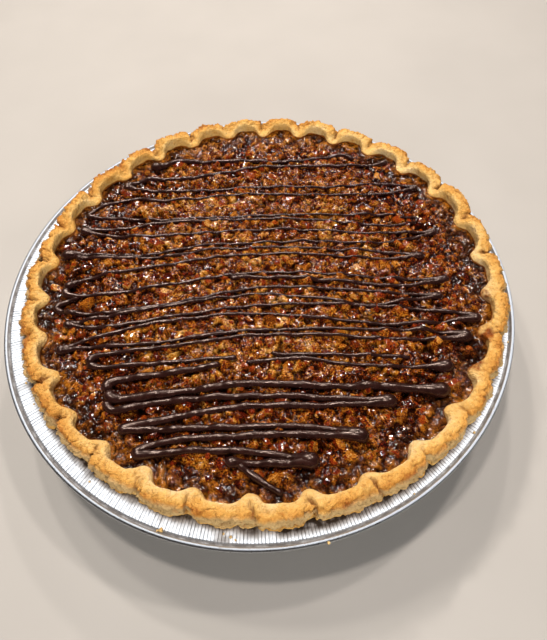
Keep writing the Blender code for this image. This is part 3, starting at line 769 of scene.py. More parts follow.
PASTRY_WALL, PASTRY_FLOOR, CLEARANCE = 4.5, 4.75, 0.75
rim_placed = rim_points + np.array([*PIE_CENTRE, 0.0])
foot_rings = ((BASE - 0.6, CLEARANCE), (tin_inside(3.2) - CLEARANCE, 3.2))
foot_rings += ((tin_inside(30.4) - CLEARANCE, 30.4), (111.2, FLANGE + 0.35))
inside_radii = [tin_inside(height) - PASTRY_WALL - CLEARANCE for height in (28.0, PASTRY_FLOOR)]
lower = hidden_rings(crust_angles, *foot_rings)
case_rings = lower + list(rim_placed) + hidden_rings(crust_angles, *zip(inside_radii, (28.0, PASTRY_FLOOR)))
case_points = np.vstack([*case_rings, [[0, 0, CLEARANCE], [0, 0, PASTRY_FLOOR]]])
rim_first = len(lower) * CRUST_COLUMNS


def over_case(grid, elsewhere=0.0):
    """Numbers for the whole case from numbers on the rim's grid."""
    values = np.full(len(case_points), float(elsewhere))
    values[rim_first : rim_first + grid.size] = grid.ravel()
    return values


case_faces = ring_faces(len(case_rings), CRUST_COLUMNS)
case_faces += closing_fan(len(case_points) - 2, 0, CRUST_COLUMNS, True)
case_faces += closing_fan(len(case_points) - 1, (len(case_rings) - 1) * CRUST_COLUMNS, CRUST_COLUMNS, False)
case_values = {"bake": over_case(bake, 0.3), "crease": over_case(crease_and_pit_shade)}
case_values |= {"stain": over_case(stain), "wall_paler_and_shaded": over_case(shaded_wall)}
pastry_case = new_object("fluted_pastry_case", case_points, case_faces, case_values)
print("pastry case:", len(case_faces), "triangles")

# %% [markdown]
# ## What baked shortcrust looks like
#
# Butter pastry bakes to a dry, sandy gold. It scatters light softly and has almost no shine, except
# where syrup has soaked in. The colour runs from cream through straw to toasted brown with the
# browning number, and is broken up by spots of a few millimetres and by grit under one. Gold in a
# photo has more red and less green than one thinks, and pastry soon looks orange in a render, so
# the colours here were set against the photo.

# %% Baked shortcrust
def pastry_finish():
    material, add, shader = new_material("shortcrust_pastry_baked", IOR=1.45, Specular_IOR_Level=0.3)
    place = add("TexCoord").outputs["Object"]
    mottle = add("TexNoise", {"Vector": place, "Scale": 1 / (4.0 * MM), "Detail": 3.0, "Roughness": 0.6})
    grit = add("TexNoise", {"Vector": place, "Scale": 1 / (1.1 * MM), "Detail": 2.5, "Roughness": 0.65})
    fleck = add("TexNoise", {"Vector": place, "Scale": 1 / (1.7 * MM), "Detail": 1.0})
    bake = add("Attribute", attribute_name="bake").outputs["Fac"]
    level = add("Math", (mottle, 0.4, bake), operation="MULTIPLY_ADD")
    level = add("Math", (grit, 0.5, level), operation="MULTIPLY_ADD")
    level = add("Math", (level, 0.47), operation="SUBTRACT")
    stops = ((0.0, "#efd19c"), (0.25, "#e8c27c"), (0.5, "#deab5b"), (0.75, "#ca8e40"), (1.0, "#985820"))
    gold = add("ValToRGB", (level,), stops=stops)
    # Painted shade on the outer wall: a greyer, darker colour
    wall_paler_and_shaded = add("Attribute", attribute_name="wall_paler_and_shaded").outputs["Fac"]
    wall_paler_and_shaded = add("Math", (wall_paler_and_shaded, 0.85), operation="MULTIPLY")
    colour = add("Mix", {0: wall_paler_and_shaded, 6: gold, 7: linear("#c3a878")}, data_type="RGBA")
    toasted = add("MapRange", (fleck, 0.62, 0.72, 0.0, 0.35))
    colour = add("Mix", {0: toasted, 6: colour, 7: linear("#a8662a")}, data_type="RGBA")
    # Painted shade in creases, cracks, pits and wrinkles
    crease = add("Attribute", attribute_name="crease").outputs["Fac"]
    crease = add("Math", (crease, 0.75), operation="MULTIPLY")
    colour = add("Mix", {0: crease, 6: colour, 7: linear("#6f3d18")}, data_type="RGBA")
    syrup = add("ValToRGB", (mottle,), stops=((0.35, "#6e340c"), (0.65, "#a65a12")))
    stain = add("Attribute", attribute_name="stain").outputs["Fac"]
    soaked = add("MapRange", (stain, 0.15, 0.75))
    colour = add("Mix", {0: soaked, 6: colour, 7: syrup}, data_type="RGBA")
    rough = add("MapRange", (soaked, 0.0, 1.0, 0.8, 0.5))
    height = add("Math", (grit, 1.4, mottle), operation="MULTIPLY_ADD")
    bump = add("Bump", {"Strength": 1.0, "Distance": 0.9 * MM, "Height": height})
    set_inputs(shader, {"Base Color": colour, "Roughness": rough, "Normal": bump})
    return material


pastry = pastry_finish()
pastry_case.data.materials.append(pastry)
print("made", pastry.name)

# %% [markdown]
# ## The filling's own body
#
# Under the nuts lies a custard of syrup, butter and egg that boiled up between them. It set as
# glazed lumps a few millimetres wide, with pores, deep gaps and some cracks, all painted dark as
# shade. It is one closed body, down to the pastry's floor. Its top is a disc of rings with six more
# points in each ring than in the last, so that the points are evenly spaced from the middle to the
# rim and no pole gets crowded.

# %% A disc with even spacing
DISC_RINGS = 176


def disc_layout(rings):
    """Ring number and angle of each point on a disc, and the disc's triangles."""
    ring_of, angle_of = [0.0], [0.0]
    first = [0]
    for ring in range(1, rings + 1):
        first.append(len(ring_of))
        ring_of += [ring] * (6 * ring)
        angle_of += [math.tau * k / (6 * ring) for k in range(6 * ring)]
    faces = [(0, 1 + k, 1 + (k + 1) % 6) for k in range(6)]
    for ring in range(1, rings):
        inner, outer_ring = 6 * ring, 6 * (ring + 1)
        for sector in range(6):
            for k in range(ring + 1):
                a = first[ring] + (sector * ring + k) % inner
                b = first[ring + 1] + (sector * (ring + 1) + k) % outer_ring
                c = first[ring + 1] + (sector * (ring + 1) + k + 1) % outer_ring
                faces.append((a, b, c))
                if k < ring:
                    faces.append((a, c, first[ring] + (sector * ring + k + 1) % inner))
    return np.array(ring_of) / rings, np.array(angle_of), faces, first[rings]


share_out, disc_angles, disc_faces, edge_first = disc_layout(DISC_RINGS)
print("disc:", len(share_out), "points,", len(disc_faces), "triangles")

# %% [markdown]
# The disc's edge follows the inside of the rim, and its height follows the solid's: a low dome with
# a slow swell. The relief comes in sizes: chips of five millimetres with seams between them, crumbs
# of nearly three, and open pores. By the rim, where the custard boiled most and holds fewer nuts,
# it is made of clots under two millimetres. The largest holes and the crack in the middle are
# placed where the real pie has them.

# %% Height of the filling
FILLING_DOME, FILLING_SWELL, SWELL_LENGTH, FILLING_OUTER_RING = 0.8, 0.6, 45.0, 97.0
CRACK = ((7.1, -36.0), (5.9, -41.0), (6.6, -44.5), (7.2, -48.0), (5.3, -52.2), (3.4, -55.4))
HOLES = ((71.5, -45.0, 3.0), (70.5, -40.5, 2.0), (80.5, -31.5, 2.4), (78.6, -36.5, 2.2))
HOLES += ((19.5, -85.6, 3.4), (23.0, -87.0, 2.4), (-30.7, -46.1, 1.3), (-20.7, -39.8, 1.4))
HOLES += ((-11.0, -45.8, 1.2), (8.0, 33.0, 1.4))

edge_knuckle = flutes_at(disc_angles)[0]
wall_radius, _, wall_pull = RIM_SECTION[-2][:3]
edge_radius = wall_radius + 0.15 - wall_pull * edge_knuckle
even = share_out * 106.0
out_radius = even + (edge_radius - 106.0) * ramp_up(share_out, 0.90, 1.0)
room = edge_radius - out_radius
x, y = out_radius * np.cos(disc_angles), out_radius * np.sin(disc_angles)
flat = np.stack([x, y], -1)
out = np.minimum(1.0, out_radius / FILLING_OUTER_RING)
slow = np.array([noise.noise(Vector((a, b, 0.0)) / SWELL_LENGTH) for a, b in flat])
level = FILLING_LEVEL + (FILLING_DOME * (1 - out**2) + 2 * FILLING_SWELL * slow) * (1 - out**4)

bent = shifted(flat, 1.4, 4.0, 81)


def chips(size, seed, tops, tilts, seam_width, seam_depth):
    """Relief of chips this wide with seams between them, each chip's number, and the seams."""
    nearest, second, number, facet = grains(bent, size, seed)
    seam = ramp_up(-(second - nearest), -seam_width, 0.0)
    return tops * (number - 0.5) + tilts * facet - seam_depth * seam, number, seam


lumps, lump_number, lump_seam = chips(5.6, 83, 1.0, 1.5, 0.30, 0.7)
bumps, bump_number, bump_seam = chips(2.7, 91, 0.8, 1.2, 0.35, 0.35)
clots, clot_number, clot_seam = chips(1.8, 191, 0.7, 0.9, 0.35, 0.3)
pore_near, _, pore_number, _ = grains(flat, 2.2, 99)
at_rim = ramp_up(-room, -9.0, -3.0)
pore = np.where(pore_number < 0.26, ramp_up(-pore_near, -0.34, -0.10), 0.0)
relief = (lumps + bumps - 1.1 * pore) * (1 - 0.4 * at_rim) + clots * at_rim + 0.2 * soft_noise(flat, 1.2, 84)
print("filling level", level.min().round(1), "to", level.max().round(1), "mm")

# %% Cracks and holes
def distance_to_line(points, line):
    """Distance from each point to a broken line."""
    best = np.full(len(points), 99.0)
    for a, b in zip(np.array(line), np.array(line)[1:]):
        along = np.clip(((points - a) @ (b - a)) / ((b - a) @ (b - a)), 0, 1)
        best = np.minimum(best, np.linalg.norm(points - a - along[:, None] * (b - a), axis=1))
    return best


wobbly = shifted(flat, 0.5, 2.0, 85)
gap = ramp_up(-distance_to_line(wobbly, CRACK), -1.0, -0.2)
for hole_x, hole_y, size in HOLES:
    away = np.hypot(wobbly[:, 0] - hole_x, wobbly[:, 1] - hole_y)
    gap = np.maximum(gap, ramp_up(-away, -size, -size * 0.45))
chasm_near, chasm_second, _, _ = grains(bent, 17.0, 87)
chasm = ramp_up(-(chasm_second - chasm_near), -0.06, -0.01) * (soft_noise(flat, 9.0, 88) > 0.25)
gap = np.maximum(gap, 0.7 * chasm * (1 - at_rim))
fade = ramp_up(room, 0.0, 1.2)
top = level + relief * (0.25 + 0.75 * fade) - 3.2 * gap * fade
# Painted shade: seams, pores, gaps and the crack are darkened in the custard's colour
seams = (0.9 * pore + 0.6 * lump_seam + 0.35 * bump_seam) * (1 - 0.4 * at_rim) + 0.45 * clot_seam * at_rim
gap_shade = np.clip(0.95 * gap + seams, 0, 1)
print("deepest", (top - level).min().round(2), "mm, highest", (top - level).max().round(2), "mm")

# %% The closed filling
edge_columns = 6 * DISC_RINGS
edge_angles = disc_angles[edge_first:]
disc_points = np.stack([x + PIE_CENTRE[0], y + PIE_CENTRE[1], top], -1)
skirt_radius = RIM_SECTION[-1][0] - 0.35 - RIM_SECTION[-1][2] * edge_knuckle[edge_first:]
deep = PASTRY_WALL + CLEARANCE + 0.35
filling_rings = [on_circle(skirt_radius, edge_angles, FLANGE + 2.2, PIE_CENTRE)]
bottom = PASTRY_FLOOR + 0.35
deep_rings = ((tin_inside(27.0) - deep, 27.0), (tin_inside(PASTRY_FLOOR) - deep, bottom))
filling_rings += hidden_rings(edge_angles, *deep_rings)
filling_points = np.vstack([disc_points, *filling_rings, [[0, 0, bottom]]])
filling_faces = list(disc_faces)
starts = [edge_first] + [len(disc_points) + k * edge_columns for k in range(3)]
for upper_ring, lower_ring in zip(starts, starts[1:]):
    for a in range(edge_columns):
        b = (a + 1) % edge_columns
        filling_faces.append((upper_ring + a, lower_ring + a, lower_ring + b))
        filling_faces.append((upper_ring + a, lower_ring + b, upper_ring + b))
filling_faces += closing_fan(len(filling_points) - 1, starts[-1], edge_columns, True)

middle = 1 - ramp_up(out_radius, 45.0, 100.0)
tone = 0.28 + 0.50 * (lump_number - 0.5) + 0.24 * (bump_number - 0.5) + 0.14 * soft_noise(flat, 13.0, 89)
sides = ramp_up(np.abs(x + 6.0), 45.0, 88.0)
tone = tone + 0.14 * middle - 0.12 * sides - 0.06 * ramp_up(-x, 40.0, 80.0)
tone = tone + at_rim * (0.30 * (clot_number - 0.5) - 0.04)


def over_filling(numbers, elsewhere=0.0):
    values = np.full(len(filling_points), float(elsewhere))
    values[: len(numbers)] = numbers
    return values


clear = np.clip(ramp_up(-room, -15.0, -4.0) * (0.7 + 0.5 * soft_noise(flat, 5.0, 90)), 0, 0.9)
brim = ramp_up(-room, -3.5, -0.6) * (0.6 + 0.4 * soft_noise(flat, 6.0, 98))
filling_values = {"room": over_filling(room * MM, -1), "clear": over_filling(clear)}
filling_values["brim"] = over_filling(brim)
custard_body = new_object("baked_custard", filling_points, filling_faces, filling_values)
print("filling:", len(filling_faces), "triangles")

# %% [markdown]
# ## What the glazed custard looks like
# Sugar syrup, butter and egg bake to a translucent amber jelly with a hard, wet-looking glaze. The
# colour goes from near black in the gaps and pores, which is painted shade, through red-brown, to
# bright amber where it is thin over a nut. The shine is weaker in that painted shade too. By the
# crust, where there are few nuts, it is brown toffee, and orange right beside the pastry. The shine
# is a clear coat over a rougher base, with a bump of its own: soft over the nuts, where it breaks
# into small sparkles, and finer over the toffee, which looks sugary.

# %% The colours of a nut
SKIN = ((0.0, "#180504"), (0.3, "#4e1206"), (0.6, "#7d2a0a"), (1.0, "#a05016"))
FLESH = ((0.0, "#4a1e08"), (0.3, "#8a480e"), (0.6, "#b2701e"), (1.0, "#d4a464"))


def nut_colours(add, level, flesh):
    """The colour of a nut's skin, or of its broken flesh where that number is one."""
    skin, broken = (add("ValToRGB", (level,), stops=stops) for stops in (SKIN, FLESH))
    return add("Mix", {0: flesh, 6: skin, 7: broken}, data_type="RGBA")


print("a nut's skin is", [round(c, 3) for c in linear("#7d2a0a")[:3]], "in linear light")

# %% Pores in the glaze
def glaze_pores(add, place):
    """How much of a pore is here: small round holes, at the places that a soft noise picks."""
    bubbles = add("TexVoronoi", {"Vector": place, "Scale": 1 / (1.4 * MM)})
    hole = add("MapRange", (bubbles, 0.36, 0.22))
    patches = add("TexNoise", {"Vector": place, "Scale": 1 / (2.2 * MM), "Detail": 1.0})
    where = add("MapRange", (patches, 0.48, 0.54))
    return add("Math", (hole, where), operation="MULTIPLY")


print("pores are about", round(2 * 0.36 * 1.4, 1), "mm wide")

# %% Glazed custard
UNDER_GLAZE = {"Roughness": 0.6, "Specular_IOR_Level": 0.0, "Coat_IOR": 1.5}


def custard_finish():
    numbers = UNDER_GLAZE | {"IOR": 1.46, "Coat_Roughness": 0.09}
    material, add, shader = new_material("sugar_custard_baked_and_glazed", **numbers)
    place = add("TexCoord").outputs["Object"]
    clots = add("TexNoise", {"Vector": place, "Scale": 1 / (2.8 * MM), "Detail": 3.0, "Roughness": 0.6})
    specks = add("TexNoise", {"Vector": place, "Scale": 1 / (0.7 * MM), "Detail": 2.0, "Roughness": 0.6})
    tone = add("Attribute", attribute_name="tone").outputs["Fac"]
    level = add("Math", (clots, 1.0, tone), operation="MULTIPLY_ADD")
    level = add("Math", (specks, 1.9, level), operation="MULTIPLY_ADD")
    level = add("Math", (level, 1.41), operation="SUBTRACT")
    stops = ((0.0, "#1c0603"), (0.2, "#4a1608"), (0.38, "#712e09"), (0.54, "#9a4f0f"))
    stops += ((0.72, "#bb7416"), (0.95, "#d39a44"))
    amber = add("ValToRGB", (level,), stops=stops)
    flesh = add("Attribute", attribute_name="flesh_below").outputs["Fac"]
    covered = add("Attribute", attribute_name="nut_below").outputs["Fac"]
    amber = add("Mix", {0: covered, 6: amber, 7: nut_colours(add, level, flesh)}, data_type="RGBA")
    brim = add("Attribute", attribute_name="brim").outputs["Fac"]
    thin = add("Math", (brim, 0.22, clots), operation="MULTIPLY_ADD")
    thin = add("Math", (tone, 0.6, thin), operation="MULTIPLY_ADD")
    thin = add("Math", (thin, 0.1), operation="SUBTRACT")
    stops = ((0.3, "#2f1508"), (0.48, "#5d3012"), (0.6, "#8c521a"), (0.75, "#bb751e"))
    toffee = add("ValToRGB", (thin,), stops=stops)
    clear = add("Attribute", attribute_name="clear").outputs["Fac"]
    amber = add("Mix", {0: clear, 6: amber, 7: toffee}, data_type="RGBA")
    pore = glaze_pores(add, place)
    # Painted shade: near black in gaps and pores
    gap_shade = add("Attribute", attribute_name="gap_shade").outputs["Fac"]
    gap_and_pore_shade = add("Math", (gap_shade, pore), operation="MAXIMUM")
    gap_and_pore_shade = add("Math", (gap_and_pore_shade, 0.93), operation="MULTIPLY")
    colour = add("Mix", {0: gap_and_pore_shade, 6: amber, 7: linear("#160502")}, data_type="RGBA")
    height = add("Math", (clots, 1.3, specks), operation="MULTIPLY_ADD")
    height = add("Math", (pore, -0.5, height), operation="MULTIPLY_ADD")
    bump = add("Bump", {"Strength": 1.0, "Distance": 0.7 * MM, "Height": height})
    film = add("TexNoise", {"Vector": place, "Scale": 1 / (1.5 * MM), "Detail": 0.0})
    sugar = add("TexNoise", {"Vector": place, "Scale": 1 / (0.9 * MM), "Detail": 0.0})
    sugar = add("Math", (sugar, clear), operation="MULTIPLY")
    film = add("Math", (sugar, 0.9, film), operation="MULTIPLY_ADD")
    glaze = add("Bump", {"Strength": 0.8, "Distance": 0.35 * MM, "Height": film})
    set_inputs(shader, {"Base Color": colour, "Normal": bump, "Coat Normal": glaze})
    # The shine is weaker in the painted shade of gaps and pores
    coat = add("Math", (gap_and_pore_shade, -0.95, 1.0), operation="MULTIPLY_ADD")
    set_inputs(shader, {"Coat Weight": coat})
    return material


custard = custard_finish()
custard_body.data.materials.append(custard)
print("made", custard.name)

# %% [markdown]
# ## Chopped pecans
#
# A pecan half is a ridged lobe with a dark red skin and cream flesh. Chopping breaks it into blocks
# with some flat broken faces. A few model pieces are enough, as each is turned and sized anew: a
# small ball is stretched, made lumpy, and cut by planes on some random sides. The cut faces are
# marked as flesh. The pieces have few faces, because there are thousands of them.

# %% Model pieces of pecan
def chopped_piece(name, number, fineness, cuts):
    """One piece of nut, about one unit long. Its broken faces are flat and marked as flesh."""
    luck = random.Random(300 + number)
    bm = bmesh.new()
    bmesh.ops.create_icosphere(bm, subdivisions=fineness, radius=0.5)
    stretch_by = Vector((1.0, luck.uniform(0.62, 0.85), luck.uniform(0.45, 0.62)))
    for vert in bm.verts:
        bulge = 1 + 0.25 * noise.noise(vert.co * 3.1 + Vector((number * 7.3, 0, 0)))
        vert.co = Vector(a * b for a, b in zip(vert.co, stretch_by)) * bulge
    flesh = bm.faces.layers.float.new("flesh")
    for _ in range(cuts):
        direction = Vector([luck.uniform(-1, 1), luck.uniform(-1, 1), luck.uniform(-0.4, 0.8)]).normalized()
        place = direction * luck.uniform(0.14, 0.30)
        everything = [*bm.verts, *bm.edges, *bm.faces]
        plane = {"plane_co": place, "plane_no": direction}
        cut = bmesh.ops.bisect_plane(bm, geom=everything, clear_outer=True, **plane)
        loop = [edge for edge in cut["geom_cut"] if isinstance(edge, bmesh.types.BMEdge)]
        for face in bmesh.ops.holes_fill(bm, edges=loop)["faces"]:
            face[flesh] = 1.0
    bmesh.ops.triangulate(bm, faces=bm.faces)
    bmesh.ops.recalc_face_normals(bm, faces=bm.faces)
    mesh = bpy.data.meshes.new(name)
    bm.to_mesh(mesh)
    bm.free()
    mesh.shade_smooth()
    mesh.set_sharp_from_angle(angle=math.radians(28))
    return bpy.data.objects.new(name, mesh)


def piece_collection(name, count, fineness, cuts, first_number):
    collection = bpy.data.collections.new(name)
    for k in range(count):
        collection.objects.link(chopped_piece(f"{name}_{k}", first_number + k, fineness, cuts))
    return collection


large_pieces = piece_collection("large_piece", 12, 2, 5, 0)
small_pieces = piece_collection("small_piece", 12, 1, 3, 40)

# %% [markdown]
# ## What glazed pecan looks like
#
# The nuts toast to a dark red-brown skin, and their broken faces to tan. Syrup coats both. Each
# piece carries one random number for its tone, which the tree below writes on it, so neighbours
# differ as real ones do.

# %% Toasted pecan
def pecan_finish():
    numbers = UNDER_GLAZE | {"IOR": 1.47, "Coat_Roughness": 0.08, "Coat_Weight": 1.0}
    material, add, shader = new_material("pecan_chopped_and_glazed", **numbers)
    place = add("TexCoord").outputs["Object"]
    fibres = add("TexNoise", {"Vector": place, "Scale": 1 / (1.6 * MM), "Detail": 3.0, "Roughness": 0.6})
    specks = add("TexNoise", {"Vector": place, "Scale": 1 / (0.55 * MM), "Detail": 1.0})
    tone = add("Attribute", attribute_name="tone").outputs["Fac"]
    level = add("Math", (fibres, 0.6, tone), operation="MULTIPLY_ADD")
    level = add("Math", (specks, 1.6, level), operation="MULTIPLY_ADD")
    level = add("Math", (level, 1.1), operation="SUBTRACT")
    flesh = add("Attribute", attribute_name="flesh").outputs["Fac"]
    pore = glaze_pores(add, place)
    nut = nut_colours(add, level, flesh)
    # Painted shade: the pores are painted dark
    colour = add("Mix", {0: pore, 6: nut, 7: linear("#1c0a04")}, data_type="RGBA")
    height = add("Math", (specks, 0.6, fibres), operation="MULTIPLY_ADD")
    bump = add("Bump", {"Strength": 0.9, "Distance": 0.7 * MM, "Height": height})
    film = add("TexNoise", {"Vector": place, "Scale": 1 / (1.6 * MM), "Detail": 0.0})
    glaze = add("Bump", {"Strength": 0.8, "Distance": 0.35 * MM, "Height": film})
    set_inputs(shader, {"Base Color": colour, "Normal": bump, "Coat Normal": glaze})
    return material


pecan = pecan_finish()
print("made", pecan.name)

# %% [markdown]
# ## Scattering the nuts
#
# Thousands of pieces lie over the whole top, so a geometry tree scatters them. It drops points on
# the custard, keeps those with enough room to the pastry, picks a model piece for each, turns it to
# lie mostly flat, and sinks it a little. Instances are then realized, as a plain mesh is needed.

# %% The scattering tree
NUT_INPUTS = ("Pieces", "Density", "Spacing", "Seed", "Smallest", "Largest", "Sunk", "Tilt")
NUT_INPUTS += ("Darkest", "Palest", "Room")


def nut_sizes(pieces, density, spacing, seed, smallest, largest, sunk, tilt, darkest, palest, room_left):
    """The scattering tree's inputs, with its lengths given in millimetres."""
    lengths = (spacing * MM, seed, smallest * MM, largest * MM)
    return dict(zip(NUT_INPUTS, (pieces, density, *lengths, sunk, tilt, darkest, palest, room_left * MM)))


def scatter_tree(material, sizes):
    tree, add, given = new_tree("scatter_on_top", sizes)
    inputs = {"Mesh": given["Geometry"], "Distance Min": given["Spacing"]}
    inputs |= {"Density Max": given["Density"], "Seed": given["Seed"]}
    points = add("GeometryNodeDistributePointsOnFaces", inputs, distribute_method="POISSON").outputs[0]
    room_here = add("GeometryNodeInputNamedAttribute", ("room",))
    crowded = add("FunctionNodeCompare", (room_here, given["Room"]), operation="LESS_THAN")
    kept = add("GeometryNodeDeleteGeometry", (points, crowded))
    against = add("Math", (given["Tilt"], -1.0), operation="MULTIPLY").outputs[0]
    ranges = {"size": (0.0, 1.0), "lean": (against, given["Tilt"]), "roll": (against, given["Tilt"])}
    ranges |= {"spin": (0.0, math.tau), "kind": (0.0, 60.0), "tone": (given["Darkest"], given["Palest"])}
    luck = {}
    for step, (label, (low, high)) in enumerate(ranges.items(), 1):
        seed = add("Math", (given["Seed"], float(step)))
        luck[label] = add("FunctionNodeRandomValue", {2: low, 3: high, "Seed": seed}).outputs[1]
    smaller_mostly = add("Math", (luck["size"], 1.8), operation="POWER")
    size = add("MapRange", (smaller_mostly, 0.0, 1.0, given["Smallest"], given["Largest"]))
    turn = add("CombineXYZ", (luck["lean"], luck["roll"], luck["spin"]))
    rotation = add("FunctionNodeEulerToRotation", (turn,))
    separate = {"Separate Children": True, "Reset Children": True}
    pieces = add("GeometryNodeCollectionInfo", {"Collection": given["Pieces"], **separate})
    inputs = {"Points": kept, "Instance": pieces, "Pick Instance": True}
    inputs |= {"Instance Index": luck["kind"], "Rotation": rotation, "Scale": size}
    placed = add("GeometryNodeInstanceOnPoints", inputs)
    depth = add("Math", (size, given["Sunk"]), operation="MULTIPLY")
    depth = add("Math", (depth, -1.0), operation="MULTIPLY")
    down = add("CombineXYZ", {2: depth})
    sunk = add("GeometryNodeTranslateInstances", {0: placed, "Translation": down, "Local Space": False})
    inputs = {0: sunk, "Name": "tone", "Value": luck["tone"]}
    toned = add("GeometryNodeStoreNamedAttribute", inputs, domain="INSTANCE")
    return end_tree(tree, toned, material)


large = nut_sizes(large_pieces, 40000.0, 5.0, 11, 5.0, 10.5, 0.1, 0.4, 0.05, 0.7, 5.5)
nut_tree = scatter_tree(pecan, large)
medium = nut_sizes(small_pieces, 160000.0, 3.7, 23, 3.0, 6.5, 0.12, 0.6, 0.1, 0.75, 7.0)
large_nuts = run_tree(custard_body, nut_tree, large, "pecan_pieces_large")
medium_nuts = run_tree(custard_body, nut_tree, medium, "pecan_pieces_medium")

# %% [markdown]
# ## Glaze over the nuts
#
# The nuts aren't loose on top: the syrup boiled over most of them and set as a skin, so that only
# some skins and broken faces stand out of it. A ray straight down at each point of the custard finds
# the nut above it, and the custard is lifted to that height, a little more in one place and less in
# another. Where it is lifted less, the nut shows. The skin or flesh of a covered nut shines through,
# so two more numbers say where there is a nut below and whether its broken side is up.

# %% Lifting the custard over the nuts
# A height over everything, for rays and drops to start from
ABOVE_ALL = 60.0
GLAZE_SPREAD, COVERED_TONE = 0.6, 0.7
skin_noise = mixed_noise(flat, (1.0, 3.2, 95), (0.6, 1.4, 96))
lifted = top.copy()
lifted_tone = tone.copy()
nut_below, flesh_up = np.zeros(len(top)), np.zeros(len(top))
open_down = fade > 0.5
for nuts in (large_nuts, medium_nuts):
    tree_of_faces = BVHTree.FromObject(nuts, bpy.context.evaluated_depsgraph_get())
    nut_tone = np.zeros(len(nuts.data.vertices), dtype=np.float32)
    nuts.data.attributes["tone"].data.foreach_get("value", nut_tone)
    first_corner = [polygon.vertices[0] for polygon in nuts.data.polygons]
    face_flesh = np.zeros(len(nuts.data.polygons), dtype=np.float32)
    nuts.data.attributes["flesh"].data.foreach_get("value", face_flesh)
    for k in np.flatnonzero(open_down):
        above = Vector((disc_points[k, 0], disc_points[k, 1], ABOVE_ALL)) * MM
        spot, _, face, _ = tree_of_faces.ray_cast(above, Vector((0, 0, -1)))
        if spot is None or spot.z < top[k] * MM:
            continue
        height_here = spot.z / MM + GLAZE_SPREAD * skin_noise[k]
        if height_here > lifted[k]:
            lifted[k] = height_here
            nut_here = nut_tone[first_corner[face]]
            lifted_tone[k] += COVERED_TONE * (nut_here - lifted_tone[k])
            nut_below[k], flesh_up[k] = 1.0, face_flesh[face]
edges = np.array(disc_faces)[:, [0, 1, 1, 2, 2, 0]].reshape(-1, 2)


def spread_out(values, times, share):
    """Blends each point's value with its neighbours' mean, a few times."""
    for _ in range(times):
        total, count = np.zeros(len(values)), np.zeros(len(values))
        for here, there in ((0, 1), (1, 0)):
            np.add.at(total, edges[:, here], values[edges[:, there]])
            np.add.at(count, edges[:, here], 1)
        values = values + share * (total / count - values)
    return values


lift_by = spread_out(lifted - top, 1, 0.45)
crinkle = (0.12 + 0.26 * at_rim) * soft_noise(flat, 1.5, 197) * fade
glazed = spread_out(top + lift_by, 1, 0.5) + crinkle
covered = ramp_up(lift_by, 0.1, 0.5)
# Painted shade: the custard is darkened in its low valleys
valley_shade = ramp_up(spread_out(glazed, 6, 0.7) - glazed, 0.08, 0.55)
gap_shade_left = np.clip(gap_shade * (1 - 0.45 * covered) + 0.6 * valley_shade * (1 - 0.5 * at_rim), 0, 1)
final_points = filling_points.copy()
final_points[: len(glazed), 2] = glazed
custard_body.data.vertices.foreach_set("co", (final_points * MM).astype(np.float32).ravel())
thin_glaze = nut_below * np.clip(0.5 + 0.6 * soft_noise(flat, 6.0, 97), 0, 0.9)
glaze_values = {"tone": over_filling(lifted_tone, 0.3), "gap_shade": over_filling(gap_shade_left)}
glaze_values |= {"nut_below": over_filling(thin_glaze), "flesh_below": over_filling(flesh_up)}
for label, numbers in glaze_values.items():
    number_vertices(custard_body.data, label, numbers)
custard_body.data.update()
print("glaze lifted at", int((lift_by > 0.2).sum()), "of", len(top), "points")
print("glaze from", (glazed - level).min().round(2), "to", (glazed - level).max().round(2), "mm")

# %% The finest bits
fine = nut_sizes(small_pieces, 120000.0, 4.0, 37, 0.9, 2.4, 0.2, 0.8, 0.1, 0.85, 3.0)
fine_nuts = run_tree(custard_body, nut_tree, fine, "pecan_pieces_fine")

# %% [markdown]
# ## The chocolate drizzle
#
# Melted chocolate was swung to and fro from a spoon. Each pass is a thin strand that bends down
# over the bumps, and each turn is a fat blob where the spoon stood still. The passes are the same
# points that the solid has. They are made finer here, and a geometry tree does the rest: it drops
# each point onto the nuts, smooths the heights as a thick liquid does, and sweeps a round section
# along the line with a little more or less chocolate from place to place.

